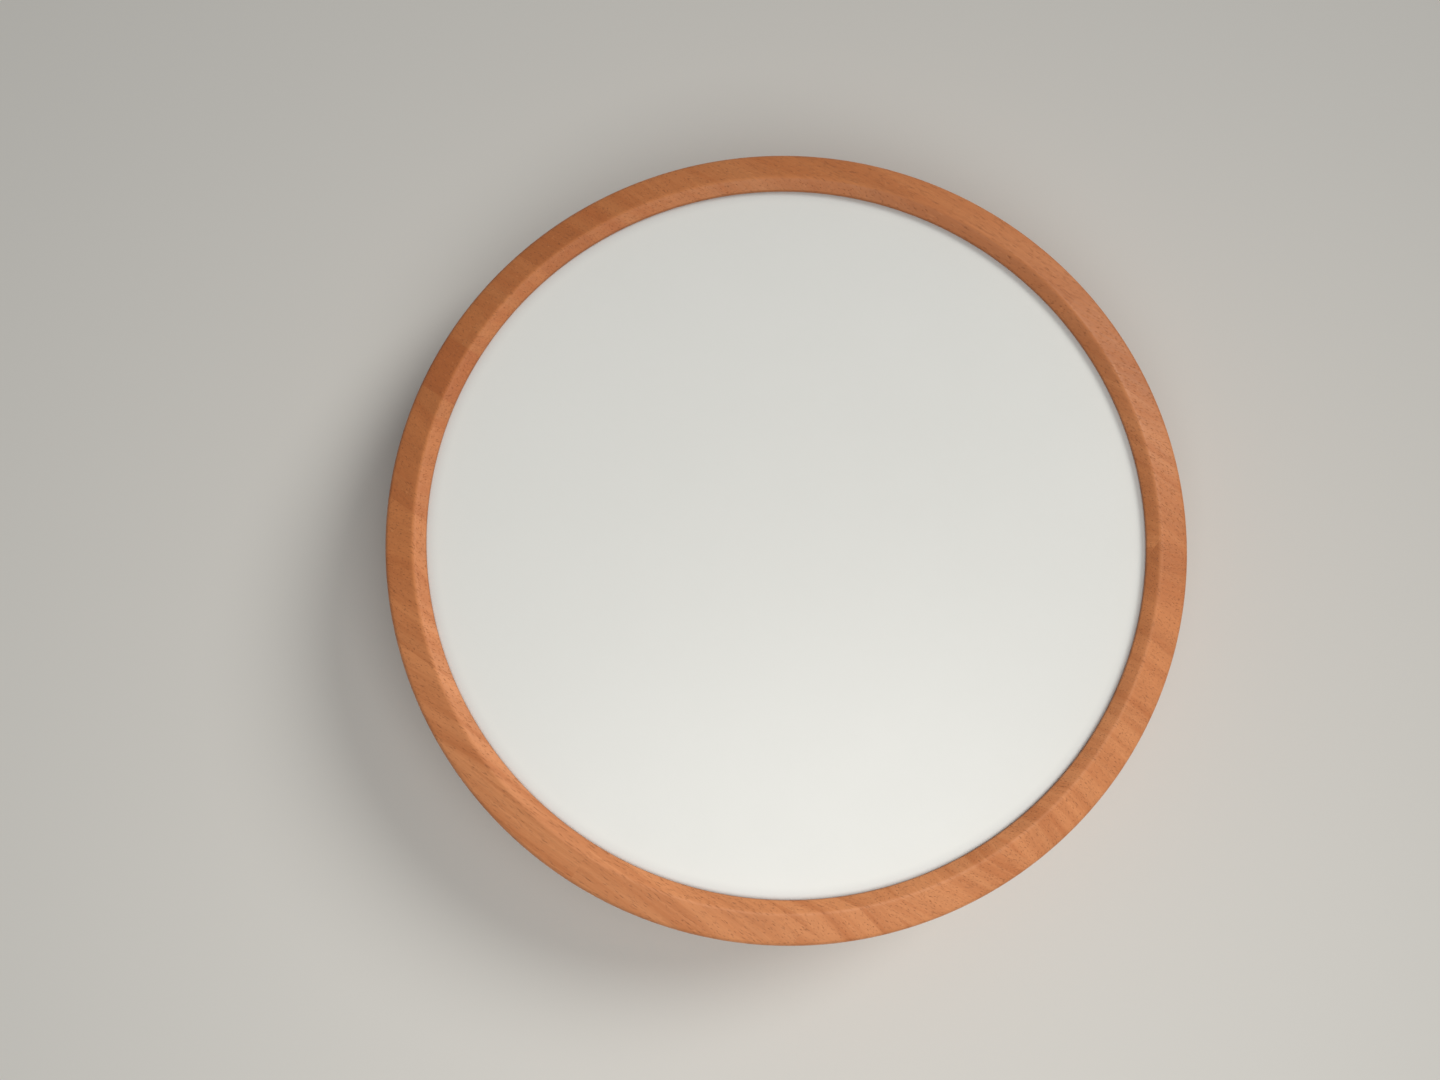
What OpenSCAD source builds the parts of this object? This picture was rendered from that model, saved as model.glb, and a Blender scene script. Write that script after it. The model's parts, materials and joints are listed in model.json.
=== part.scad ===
// Flat round ceiling lamp, lying on its back. A wooden ring carries an opal cover and
// twists onto a pressed steel pan, which holds the light board, the driver and the terminals.
// Origin: centre of the back, in the plane of the foam seal's back face. +Z points out of
// the light's face.

/* [Wooden ring] */
// Outside diameter of the ring
ring_d = 300; // [240:1:380]
// Height of the ring from its back edge to its ridge
ring_h = 46; // [36:0.5:60]
// Thickness of the hoop's wall
ring_wall = 11; // [9:0.5:14]
// Gap between the ceiling and the ring's back edge
ring_gap = 6; // [4:0.5:10]
// Width of the lip that laps over the cover
lip_w = 4.8; // [3:0.1:7]
// Depth of the lip's underside below the ridge
lip_depth = 4; // [3:0.1:6]
// Width of the inner bevel, from the lip's edge to the ridge
bevel_w = 4.3; // [2:0.1:6]
// Depth of the inner bevel
bevel_drop = 2.2; // [1:0.1:2.8]
// Fall of the sloping front face, from the ridge to the outer edge
face_drop = 3.6; // [1:0.1:6]
// Radius of the ridge
ridge_round = 2; // [0.5:0.1:4]
// Radius of the outer front edge
front_round = 2.5; // [1:0.1:4]
// Radius of the back edges
back_round = 1.2; // [0.5:0.1:3]

/* [Opal cover] */
// Thickness of the cover
cover_t = 2; // [1.5:0.1:3]
// Rise of the cover at its centre
cover_dome = 1.2; // [0:0.1:3]
// Radial gap between the cover's edge and the ring
cover_gap = 0.6; // [0.3:0.1:1]

/* [Clips and tabs] */
// Number of clips that hold the cover
clip_count = 6; // [3:1:8]
// Thickness of a clip's steel
clip_t = 1; // [0.8:0.1:1.2]
// Width of a clip, round the ring
clip_w = 12; // [9:0.5:16]
// Reach of a clip under the cover
clip_reach = 8; // [6:0.5:9]
// Height of a clip's leg on the ring's wall
clip_leg = 12; // [10:0.5:14]
// Thickness of a locking tab's steel
tab_t = 1.2; // [1:0.1:1.5]
// Width of a locking tab, round the ring
tab_w = 22; // [18:0.5:26]
// Reach of a tab's tongue in from the ring's wall
tab_reach = 8.5; // [7:0.1:10]
// Height of a tab's leg on the ring's wall
tab_leg = 18; // [14:0.5:20]
// Turn from locked to free, in degrees
twist = 14; // [12:0.5:18]
// Radial gap between a tab's leg and the pan's flange
tab_side_gap = 0.6; // [0.4:0.1:1]
// Gap between a tongue and the underside of the flange
tongue_gap = 0.35; // [0.3:0.05:0.6]
// Gap at each side of a tab in its notch
notch_gap = 1.5; // [1:0.1:3]

/* [Pan] */
// Thickness of the pan's steel
pan_t = 1; // [0.8:0.1:1.2]
// Height of the pan, from its back to the front of its flange
pan_depth = 15; // [13:0.5:20]
// Width of the pan's flange
flange_w = 12; // [10:0.5:14]
// Bend radius on the outside of the sheet
pan_bend = 2; // [1.5:0.1:3]
// Width of the flat band that carries the foam
band_w = 10; // [8:0.5:14]
// Height of the raised middle above that band
pan_step = 1.5; // [1:0.1:1.8]
// Thickness of the foam seal
foam_t = 2; // [1.5:0.1:2.2]
// Radius of a stop pip
pip_r = 2; // [1.5:0.1:2.5]
// Height of a stop pip
pip_h = 2.2; // [1.8:0.1:3]

/* [Fixing and cable entry] */
// Distance between the two fixing slots
slot_spacing = 100; // [90:1:104]
// Length of a fixing slot, end to end
slot_l = 12; // [8:0.5:14]
// Width of a fixing slot
slot_w = 5; // [4:0.1:6]
// Bore of the cable grommet
grommet_bore = 8; // [6:0.5:10]
// Hole in the pan for the grommet
grommet_hole = 13; // [12:0.5:15]
// Rim of the grommet outside the hole
grommet_rim = 2; // [1.5:0.1:3]
// Length of the grommet's bore
grommet_l = 6.5; // [5:0.5:9]

/* [Light board] */
// Thickness of the light board
board_t = 1.2; // [1:0.1:1.6]
// Gap between the board's outer edge and the pan's step
board_gap = 2; // [1:0.5:4]
// Diameter of a lens
lens_d = 13; // [10:0.5:14]
// Height of a lens
lens_h = 5.5; // [4:0.1:7]
// Smallest distance between two lights
led_pitch = 20; // [16:0.5:26]
// Width of the outer edge of the board that has no lights
led_margin = 14; // [12:0.5:18]
// Width of the inner edge of the board that has no lights
led_inner_margin = 18; // [17:0.5:22]
// Screws on each edge of the board
board_screws = 6; // [4:1:8]

/* [Driver] */
// Length of the driver case
driver_l = 84; // [70:1:100]
// Width of the driver case
driver_w = 36; // [32:1:42]
// Height of the driver case
driver_h = 23; // [21:0.5:27]
// Wall of the driver case
driver_wall = 1.8; // [1.5:0.1:2.5]
// Height of the lid part of the case
lid_h = 8; // [6:0.5:10]
// Length of a fixing ear
ear_l = 8; // [7:0.5:9]
// Width of a fixing ear
ear_w = 10; // [8:0.5:14]

/* [Terminals] */
// Number of poles
poles = 3; // [2:1:3]
// Distance between poles
pole_pitch = 10; // [9:0.5:11]
// Width of the terminal block, along the wires
block_w = 16; // [14:0.5:20]
// Height of the terminal block
block_h = 13; // [11:0.5:16]
// Room for wires between the block and the driver
wire_room = 11; // [9:0.5:14]
// Diameter of an insulated wire
wire_d = 2.2; // [1.8:0.1:2.4]
// Width of the cable clamp, along the cable
clamp_w = 7; // [6:0.5:9]
// Room between the clamp and its neighbours
clamp_room = 3; // [2:0.5:5]

/* [Screws] */
// Diameter of the small screws
screw_d = 3; // [2.5:0.1:3.5]
// Clearance of a screw in the thing it clamps, on the radius
screw_gap = 0.2; // [0.1:0.05:0.4]
// Length of the wood screws
wood_screw_l = 8.5; // [7:0.5:9]
// Diameter of the earth screw
earth_d = 4; // [3:0.5:5]

/* [Hidden] */
$fn = 128;
eps = 0.01;          // overlap used only inside one solid or one cut

// ring
ring_r = ring_d / 2;
wall_r = ring_r - ring_wall;          // inner wall of the hoop
lip_r = wall_r - lip_w;               // edge of the lip
ridge_r = lip_r + bevel_w;
ridge_z = ring_gap + ring_h;
lip_z = ridge_z - lip_depth;          // underside of the lip, front of the cover's edge
cover_r = wall_r - cover_gap;
cover_back_z = lip_z - cover_t;

// pan
flange_r = wall_r - tab_t - tab_side_gap;
pan_wall_r = flange_r - flange_w;
pan_back_z = foam_t;
flange_top_z = pan_back_z + pan_depth;
flange_under_z = flange_top_z - pan_t;
step_run = 2;                         // width of the sloping step
platform_r = pan_wall_r - band_w;     // raised middle of the pan
plate_back_z = pan_back_z + pan_step;
plate_z = plate_back_z + pan_t;       // face that carries the parts
foam_edge = 1;                        // foam stays this far inside the band

// locking tabs and their notches
tab_half = tab_w / 2 / wall_r * 180 / PI;
tongue_r = wall_r - tab_reach;
tongue_top_z = flange_under_z - tongue_gap;
tab_bottom_z = tongue_top_z - tab_t;
tab_angles = [for (k = [0:2]) 30 + 120 * k];
notch_half = tab_half + notch_gap / tongue_r * 180 / PI;
notch_r = tongue_r - notch_gap;
pip_track_r = (tongue_r + flange_r) / 2;
pip_half = pip_r / pip_track_r * 180 / PI;
pip_gap = 0.2;                        // in degrees, between a stopped tab and its pip
tab_screw_turn = 3.1;                 // each tab screw's angle from the tab's middle
tab_screw_z = tab_bottom_z + tab_leg - 5;
clip_angles = [for (k = [0:clip_count - 1]) 360 / clip_count * k];
clip_half = clip_w / 2 / wall_r * 180 / PI;
clip_screw_z = cover_back_z - clip_leg + 4;

// layout of the middle of the pan
driver_y = driver_w / 2 + 3;
block_l = poles * pole_pitch;
block_y = driver_y - driver_w / 2 - wire_room - block_w / 2;
block_x = 8;
clamp_y = block_y - block_w / 2 - clamp_room - clamp_w / 2;
clamp_screw_x = 9;                    // each clamp screw from the middle of the clamp
clamp_l = 2 * clamp_screw_x + 8;
grommet_r = grommet_hole / 2 + grommet_rim;
grommet_y = clamp_y - clamp_w / 2 - clamp_room - grommet_r;
slot_y = block_y + block_w / 2 - 2;
earth_x = block_x + block_l / 2 + 12;
earth_y = block_y - 6;
ear_screw_x = driver_l / 2 + ear_l / 2;
middle_r = max(norm([driver_l / 2, driver_y + driver_w / 2]),
               norm([driver_l / 2 + ear_l, driver_y + ear_w / 2]),
               norm([block_x, grommet_y - grommet_r]),
               norm([slot_spacing / 2 + slot_l / 2, slot_y]));

// light board
board_in_r = middle_r + 2.5;
board_r = platform_r - board_gap;
board_z = plate_z + board_t;          // face that carries the lights
led_out_r = board_r - led_margin;
led_in_r = min(led_out_r, board_in_r + led_inner_margin);
led_rings = floor((led_out_r - led_in_r) / led_pitch) + 1;
led_step = led_rings > 1 ? (led_out_r - led_in_r) / (led_rings - 1) : 0;
board_screw_edge = 3.5;               // screw centres from the board's edges
chip_l = 3.5;
chip_w = 2.8;
chip_h = 0.8;
plug_angle = 7;
plug_l = 8;
plug_w = 10;
plug_h = 5;
plug_pitch = 4.5;
plug_r = board_in_r + 1 + plug_l / 2; // middle of the connector on the board

// driver inside
base_h = driver_h - lid_h;
post_h = 3;
post_r = 2;
pcb_t = 1.6;
pcb_gap = 1.5;                        // round the board, inside the case
pcb_z = plate_z + driver_wall + post_h;
pcb_top_z = pcb_z + pcb_t;
lip_in_t = 1;                         // the lid's locating lip
lip_in_h = 2;
lip_in_gap = 0.15;
lead_z = plate_z + base_h / 2 + 4;    // wires enter the case at this height
lead_y = [driver_y - 9, driver_y - 4];
lead_hole_gap = 0.15;

// terminals
sleeve_r = 2.6;
sleeve_bore_r = 1.6;
sleeve_z = plate_z + 5;
sleeve_l = block_w - 2;
well_r = 2.2;
clamp_screw_r = 1.2;                  // the small screws that clamp the wires
head_r = screw_d * 0.93;
head_h = screw_d * 0.6;
small_head_r = screw_d * 0.73;        // for screws in tight places
earth_head_r = earth_d * 0.95;
screw_tip = 1.8;                      // a screw shows this far behind the pan
clamp_arch_r = grommet_bore / 2;
clamp_h = clamp_arch_r + 2.5;
earth_washer_t = 0.8;
earth_tag_t = 0.8;

function arc(cx, cy, r, a0, a1, n = 8) =
  [for (i = [0:n]) let (a = a0 + (a1 - a0) * i / n) [cx + r * cos(a), cy + r * sin(a)]];

function pole_x(i) = block_x + (i - (poles - 1) / 2) * pole_pitch;
function polar(r, a, z = 0) = [r * cos(a), r * sin(a), z];

// A smooth curve through the points p, with m steps between two points.
function at(p, i) = p[min(max(i, 0), len(p) - 1)];
function spline(p, m = 5) = concat(
  [for (i = [0:len(p) - 2], k = [0:m - 1])
    let (t = k / m, a = at(p, i - 1), b = at(p, i), c = at(p, i + 1), d = at(p, i + 2))
    0.5 * (2 * b + (c - a) * t + (2 * a - 5 * b + 4 * c - d) * t * t
      + (3 * b - a - 3 * c + d) * t * t * t)],
  [p[len(p) - 1]]);

module wire(route, d, sides = 8) {
  p = spline(route);
  n = len(p);
  points = [for (i = [0:n - 1])
    let (t = at(p, i + 1) - at(p, i - 1), s = cross(t, [0, 0, 1]) / norm(cross(t, [0, 0, 1])),
         u = cross(s, t) / norm(t))
    for (k = [0:sides - 1])
      p[i] + d / 2 * (cos(360 * k / sides) * s + sin(360 * k / sides) * u)];
  walls = [for (i = [0:n - 2], k = [0:sides - 1])
    let (a = i * sides + k, b = i * sides + (k + 1) % sides)
    [a, a + sides, b + sides, b]];
  polyhedron(points, concat(walls, [[for (k = [0:sides - 1]) k]],
    [[for (k = [sides - 1:-1:0]) (n - 1) * sides + k]]), convexity = 6);
}

// A slice of a ring, between two angles, from a profile drawn in [radius, height].
module ring_slice(middle, half) {
  rotate([0, 0, middle - half]) rotate_extrude(angle = 2 * half) children();
}

// A cross-head screw: the head sits on z = 0 and the shank points down.
module screw(d, length, hr = head_r, hh = head_h) {
  difference() {
    union() {
      cylinder(r = hr, h = hh);
      translate([0, 0, -length]) cylinder(d = d, h = length + eps);
    }
    for (a = [0, 90])
      rotate([0, 0, a]) translate([-hr * 0.6, -hr * 0.12, hh * 0.4]) cube([hr * 1.2, hr * 0.24, hh]);
  }
}

// How far in a flat screw head sits, so that it clears a curved face of radius r.
function seat(r) = sqrt(r * r - head_r * head_r);

// Places a child on the ring's inner wall, with its own -Z pointing into the wood.
module on_wall(angle, z, r) {
  rotate([0, 0, angle]) translate([r, 0, z]) rotate([0, -90, 0]) children();
}

module tab_screw_places(r) {
  for (a = tab_angles, s = [-1, 1]) on_wall(a + s * tab_screw_turn, tab_screw_z, r) children();
}

module clip_screw_places(r) {
  for (a = clip_angles) on_wall(a, clip_screw_z, r) children();
}

module board_screw_places() {
  for (k = [0:board_screws - 1]) {
    translate(polar(board_in_r + board_screw_edge, 360 / board_screws * (k + 0.5))) children();
    translate(polar(board_r - board_screw_edge, 360 / board_screws * k)) children();
  }
}

module led_places() {
  for (j = [0:led_rings - 1])
    let (r = led_out_r - j * led_step, n = floor(2 * PI * r / led_pitch))
      for (k = [0:n - 1]) rotate([0, 0, 360 / n * (k + 0.5)]) translate([r, 0, 0]) children();
}

module driver_screw_places() {
  for (s = [-1, 1]) translate([s * ear_screw_x, driver_y, 0]) children();
}

module block_screw_places() {
  for (s = [-1, 1]) translate([block_x + s * pole_pitch / 2, block_y, 0]) children();
}

module clamp_screw_places() {
  for (s = [-1, 1]) translate([block_x + s * clamp_screw_x, clamp_y, 0]) children();
}

// Cover ---------------------------------------------------------------------

module ring_profile() {
  slope = atan(face_drop / (ring_r - ridge_r));
  bevel = atan(bevel_drop / bevel_w);
  edge_x = ring_r - front_round;
  edge_z = ridge_z - (front_round + (edge_x - ridge_r) * sin(slope)) / cos(slope);
  top_x = ridge_r + ridge_round * (cos(slope) - cos(bevel)) / sin(bevel + slope);
  top_z = ridge_z - ridge_round * (sin(bevel) + sin(slope)) / sin(bevel + slope);
  polygon(concat(
    arc(wall_r + back_round, ring_gap + back_round, back_round, 180, 270),
    arc(ring_r - back_round, ring_gap + back_round, back_round, 270, 360),
    arc(edge_x, edge_z, front_round, 0, 90 - slope),
    arc(top_x, top_z, ridge_round, 90 - slope, 90 + bevel),
    [[lip_r, ridge_z - bevel_drop], [lip_r, lip_z], [wall_r, lip_z]]));
}

module pilot_hole() {
  translate([0, 0, -wood_screw_l]) cylinder(d = screw_d, h = wood_screw_l + 1);
}

module wood_ring() {
  color("peru") difference() {
    rotate_extrude() ring_profile();
    tab_screw_places(seat(wall_r - tab_t)) pilot_hole();
    clip_screw_places(seat(wall_r - clip_t)) pilot_hole();
  }
}

module diffuser() {
  dome_r = lip_r - 1;
  steps = 14;
  front = [for (i = [0:steps]) let (r = dome_r * i / steps) [r, lip_z + cover_dome * (1 - pow(r / dome_r, 2))]];
  back = [for (i = [steps:-1:0]) [front[i][0], front[i][1] - cover_t]];
  color("whitesmoke") rotate_extrude()
    polygon(concat(front, [[cover_r, lip_z], [cover_r, cover_back_z]], back));
}

module diffuser_clips() {
  color("silver") difference() {
    for (a = clip_angles) ring_slice(a, clip_half)
      polygon([[wall_r, cover_back_z], [wall_r - clip_reach, cover_back_z],
        [wall_r - clip_reach, cover_back_z - clip_t], [wall_r - clip_t, cover_back_z - clip_t],
        [wall_r - clip_t, cover_back_z - clip_leg], [wall_r, cover_back_z - clip_leg]]);
    clip_screw_places(wall_r) translate([0, 0, -2]) cylinder(r = screw_d / 2 + screw_gap, h = 6);
  }
}

module diffuser_clip_screws() {
  color("gainsboro") clip_screw_places(seat(wall_r - clip_t)) screw(screw_d, wood_screw_l);
}

module bayonet_tabs() {
  color("silver") difference() {
    for (a = tab_angles) ring_slice(a, tab_half)
      polygon([[wall_r, tab_bottom_z], [tongue_r, tab_bottom_z], [tongue_r, tongue_top_z],
        [wall_r - tab_t, tongue_top_z], [wall_r - tab_t, tab_bottom_z + tab_leg],
        [wall_r, tab_bottom_z + tab_leg]]);
    tab_screw_places(wall_r) translate([0, 0, -2]) cylinder(r = screw_d / 2 + screw_gap, h = 6);
  }
}

module bayonet_tab_screws() {
  color("gainsboro") tab_screw_places(seat(wall_r - tab_t)) screw(screw_d, wood_screw_l);
}

// Pan -----------------------------------------------------------------------

module pan_profile() {
  inner_bend = pan_bend - pan_t;
  band_in_r = platform_r + step_run;
  top_bend_z = flange_under_z - inner_bend;
  polygon(concat(
    [[0, plate_back_z], [platform_r, plate_back_z], [band_in_r, pan_back_z]],
    arc(pan_wall_r - pan_bend, pan_back_z + pan_bend, pan_bend, -90, 0),
    arc(pan_wall_r + inner_bend, top_bend_z, inner_bend, 180, 90),
    [[flange_r, flange_under_z], [flange_r, flange_top_z]],
    arc(pan_wall_r + inner_bend, top_bend_z, pan_bend, 90, 180),
    arc(pan_wall_r - pan_bend, pan_back_z + pan_bend, inner_bend, 0, -90),
    [[band_in_r, pan_back_z + pan_t], [platform_r, plate_z], [0, plate_z]]));
}

module stop_pips(r, from, to) {
  for (a = tab_angles, b = [a - tab_half - pip_half - pip_gap, a + twist + notch_half + pip_half + pip_gap])
    translate(polar(pip_track_r, b, from)) cylinder(r = r, h = to - from);
}

module base_pan() {
  color("white") difference() {
    union() {
      rotate_extrude() pan_profile();
      stop_pips(pip_r, flange_under_z - pip_h, flange_under_z + eps);
    }
    stop_pips(pip_r - pan_t, flange_top_z - pip_h, flange_top_z + 1);
    for (a = tab_angles) ring_slice(a + twist, notch_half)
      translate([notch_r, flange_under_z - 1]) square([flange_r - notch_r + 2, pan_t + 2]);
    translate([0, 0, plate_back_z - 1]) {
      for (s = [-1, 1]) translate([s * slot_spacing / 2, slot_y, 0]) hull_slot(pan_t + 2);
      translate([block_x, grommet_y, 0]) cylinder(d = grommet_hole, h = pan_t + 2);
      translate([earth_x, earth_y, 0]) cylinder(d = earth_d, h = pan_t + 2);
      board_screw_places() cylinder(d = screw_d, h = pan_t + 2);
      driver_screw_places() cylinder(d = screw_d, h = pan_t + 2);
      block_screw_places() cylinder(d = screw_d, h = pan_t + 2);
      clamp_screw_places() cylinder(d = screw_d, h = pan_t + 2);
    }
  }
}

// A slot with round ends along X, as a cut of height h.
module hull_slot(h) {
  run = slot_l - slot_w;
  translate([-run / 2, -slot_w / 2, 0]) cube([run, slot_w, h]);
  for (s = [-1, 1]) translate([s * run / 2, 0, 0]) cylinder(d = slot_w, h = h);
}

module foam_seal() {
  color("dimgray") difference() {
    cylinder(r = pan_wall_r - pan_bend - foam_edge, h = foam_t);
    translate([0, 0, -1]) cylinder(r = platform_r + step_run + foam_edge, h = foam_t + 2);
  }
}

module cable_grommet() {
  neck_r = grommet_hole / 2;
  bore_r = grommet_bore / 2;
  back_rim = 1.4;
  front_z = plate_back_z - back_rim + grommet_l;
  color("black") translate([block_x, grommet_y, 0]) rotate_extrude()
    polygon([[bore_r, plate_back_z - back_rim], [neck_r + 1.2, plate_back_z - back_rim],
      [grommet_r - 0.4, plate_back_z], [neck_r, plate_back_z], [neck_r, plate_z], [grommet_r, plate_z],
      [grommet_r, plate_z + 1], [neck_r, plate_z + 1.8], [bore_r + 1.2, front_z], [bore_r, front_z]]);
}

// Light board ----------------------------------------------------------------

module led_board() {
  color("ivory") translate([0, 0, plate_z]) difference() {
    cylinder(r = board_r, h = board_t);
    translate([0, 0, -1]) cylinder(r = board_in_r, h = board_t + 2);
    translate([0, 0, -1]) board_screw_places() cylinder(r = screw_d / 2 + screw_gap, h = board_t + 2);
  }
}

module led_chips() {
  color("khaki") translate([0, 0, board_z]) led_places() difference() {
    translate([-chip_l / 2, -chip_w / 2, 0]) cube([chip_l, chip_w, chip_h]);
    translate([0, 0, chip_h - 0.25]) cylinder(r = 1.05, h = 1, $fn = 24);
  }
}

module led_lenses() {
  foot_h = 1;
  rim = 1;                            // width of the lens's foot outside its dome
  dome_r = lens_d / 2 - rim;
  pocket_r = norm([chip_l, chip_w]) / 2 + 0.4;
  pocket_h = chip_h + 0.9;
  color("lightcyan") translate([0, 0, board_z]) led_places() rotate_extrude($fn = 48)
    polygon(concat([[pocket_r, 0], [lens_d / 2, 0], [lens_d / 2, foot_h], [dome_r, foot_h]],
      [for (a = [15:15:90]) [dome_r * cos(a), foot_h + (lens_h - foot_h) * sin(a)]],
      [[0, pocket_h], [pocket_r, pocket_h - 0.6]]));
}

module led_board_screws() {
  color("gainsboro") translate([0, 0, board_z]) board_screw_places()
    screw(screw_d, board_t + pan_t + screw_tip, hr = small_head_r);
}

module led_connector() {
  color("white") rotate([0, 0, plug_angle]) translate([plug_r, 0, board_z]) difference() {
    translate([-plug_l / 2, -plug_w / 2, 0]) cube([plug_l, plug_w, plug_h]);
    for (s = [-1, 1]) {
      translate([-plug_l / 2 - 1, s * plug_pitch / 2, plug_h / 2]) rotate([0, 90, 0])
        cylinder(r = wire_d / 2 + lead_hole_gap, h = 6);
      translate([1.2, s * plug_pitch / 2 - 1, plug_h - 1]) cube([2, 2, 2]);
    }
  }
}

// Driver ----------------------------------------------------------------------

module driver_box(z, h, inset = 0) {
  translate([-driver_l / 2 + inset, driver_y - driver_w / 2 + inset, z])
    cube([driver_l - 2 * inset, driver_w - 2 * inset, h]);
}

module lead_holes(x) {
  for (y = lead_y) translate([x, y, lead_z]) rotate([0, 90, 0])
    cylinder(r = wire_d / 2 + lead_hole_gap, h = driver_wall + 2, center = true);
}

module driver_case_base() {
  color("whitesmoke") difference() {
    union() {
      difference() {
        driver_box(plate_z, base_h);
        driver_box(plate_z + driver_wall, base_h, driver_wall);
        lead_holes(-(driver_l - driver_wall) / 2);
        lead_holes((driver_l - driver_wall) / 2);
      }
      for (s = [-1, 1]) translate([s > 0 ? driver_l / 2 - eps : -driver_l / 2 - ear_l, driver_y - ear_w / 2, plate_z])
        cube([ear_l + eps, ear_w, driver_wall]);
      for (x = [-1, 1], y = [-1, 1])
        translate([x * (driver_l / 2 - 8), driver_y + y * (driver_w / 2 - 6), plate_z + driver_wall - eps])
          cylinder(r = post_r, h = post_h + eps);
    }
    translate([0, 0, plate_z - 1]) driver_screw_places() cylinder(r = screw_d / 2 + screw_gap, h = driver_wall + 2);
  }
}

module driver_case_lid() {
  z = plate_z + base_h;
  inner = driver_wall + lip_in_gap;
  color("gainsboro") difference() {
    union() {
      driver_box(z, lid_h);
      driver_box(z - lip_in_h, lip_in_h + eps, inner);
    }
    driver_box(z - lip_in_h - 1, lid_h + lip_in_h + 1 - driver_wall, inner + lip_in_t);
    for (x = [-3:3]) translate([x * 7 - 1, driver_y - driver_w / 2 + 8, z + lid_h - driver_wall - 1])
      cube([2, driver_w - 16, driver_wall + 2]);
  }
}

module driver_board() {
  color("darkgreen") driver_box(pcb_z, pcb_t, driver_wall + pcb_gap);
}

module driver_transformer() {
  core = [18, 16, 12];
  winding = [12, 22, 9];
  color("goldenrod") translate([6, driver_y, pcb_top_z]) {
    translate([-core[0] / 2, -core[1] / 2, 0]) cube(core);
    translate([-winding[0] / 2, -winding[1] / 2, 1.5]) cube(winding);
  }
}

module driver_capacitors() {
  color("midnightblue") for (c = [[-26, 8, 5, 13], [-26, -7, 4, 11], [28, -6, 4, 12]])
    translate([c[0], driver_y + c[1], pcb_top_z]) {
      cylinder(r = c[2], h = 0.8);
      translate([0, 0, 0.8 - eps]) cylinder(r = c[2] - 0.3, h = 0.8 + 2 * eps);
      translate([0, 0, 1.6]) cylinder(r = c[2], h = c[3] - 1.6);
    }
}

module driver_choke() {
  color("dimgray") translate([-11, driver_y + 2, pcb_top_z]) rotate_extrude()
    polygon([[0, 0], [5, 0], [5, 1.5], [3.6, 1.5], [3.6, 7.5], [5, 7.5], [5, 9], [0, 9]]);
}

module driver_screws() {
  color("gainsboro") translate([0, 0, plate_z + driver_wall]) driver_screw_places()
    screw(screw_d, driver_wall + pan_t + screw_tip);
}

// Terminals ---------------------------------------------------------------------

module sleeve_places() {
  for (i = [0:poles - 1]) translate([pole_x(i), block_y, sleeve_z]) rotate([90, 0, 0]) children();
}

module clamp_hole_places() {
  for (i = [0:poles - 1], s = [-1, 1])
    translate([pole_x(i), block_y + s * sleeve_l / 3.5, sleeve_z]) children();
}

module terminal_block() {
  color("ghostwhite") difference() {
    translate([block_x - block_l / 2, block_y - block_w / 2, plate_z]) cube([block_l, block_w, block_h]);
    sleeve_places() cylinder(r = sleeve_r, h = block_w + 2, center = true);
    clamp_hole_places() cylinder(r = well_r, h = block_h);
    translate([0, 0, plate_z - 1]) block_screw_places() cylinder(r = screw_d / 2 + screw_gap, h = block_h + 2);
    translate([0, 0, plate_z + 4]) block_screw_places() cylinder(r = small_head_r + screw_gap, h = block_h);
    for (i = [1:poles - 1]) translate([pole_x(i) - pole_pitch / 2 - 0.6, block_y - block_w / 2 - 1, plate_z + block_h - 4])
      cube([1.2, block_w / 2 - 3, 5]);
  }
}

module terminal_sleeves() {
  color("gold") difference() {
    sleeve_places() cylinder(r = sleeve_r, h = sleeve_l, center = true);
    sleeve_places() cylinder(r = sleeve_bore_r, h = sleeve_l + 2, center = true);
    clamp_hole_places() cylinder(r = clamp_screw_r, h = block_h);
  }
}

module terminal_screws() {
  color("silver") clamp_hole_places() translate([0, 0, sleeve_r]) screw(2 * clamp_screw_r, sleeve_r - wire_d / 2, hr = well_r - 0.3);
}

module terminal_block_screws() {
  color("gainsboro") translate([0, 0, plate_z + 4]) block_screw_places() screw(screw_d, 4 + pan_t + screw_tip, hr = small_head_r);
}

module cable_clamp() {
  color("ghostwhite") translate([block_x, clamp_y, plate_z]) difference() {
    union() {
      translate([-clamp_l / 2, -clamp_w / 2, 0]) cube([clamp_l, clamp_w, clamp_h - 2]);
      rotate([90, 0, 0]) cylinder(r = clamp_h, h = clamp_w, center = true);
    }
    rotate([90, 0, 0]) cylinder(r = clamp_arch_r, h = clamp_w + 2, center = true);
    translate([-clamp_l, -clamp_w, -2 * clamp_h]) cube([2 * clamp_l, 2 * clamp_w, 2 * clamp_h]);
    for (s = [-1, 1]) translate([s * clamp_screw_x, 0, -1]) cylinder(r = screw_d / 2 + screw_gap, h = clamp_h + 2);
  }
}

module cable_clamp_screws() {
  color("gainsboro") translate([0, 0, plate_z + clamp_h - 2]) clamp_screw_places()
    screw(screw_d, clamp_h - 2 + pan_t + screw_tip, hr = small_head_r);
}

module earth_washer() {
  color("silver") translate([earth_x, earth_y, plate_z]) difference() {
    cylinder(r = earth_head_r, h = earth_washer_t);
    translate([0, 0, -1]) cylinder(r = earth_d / 2 + screw_gap, h = earth_washer_t + 2);
  }
}

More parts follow.
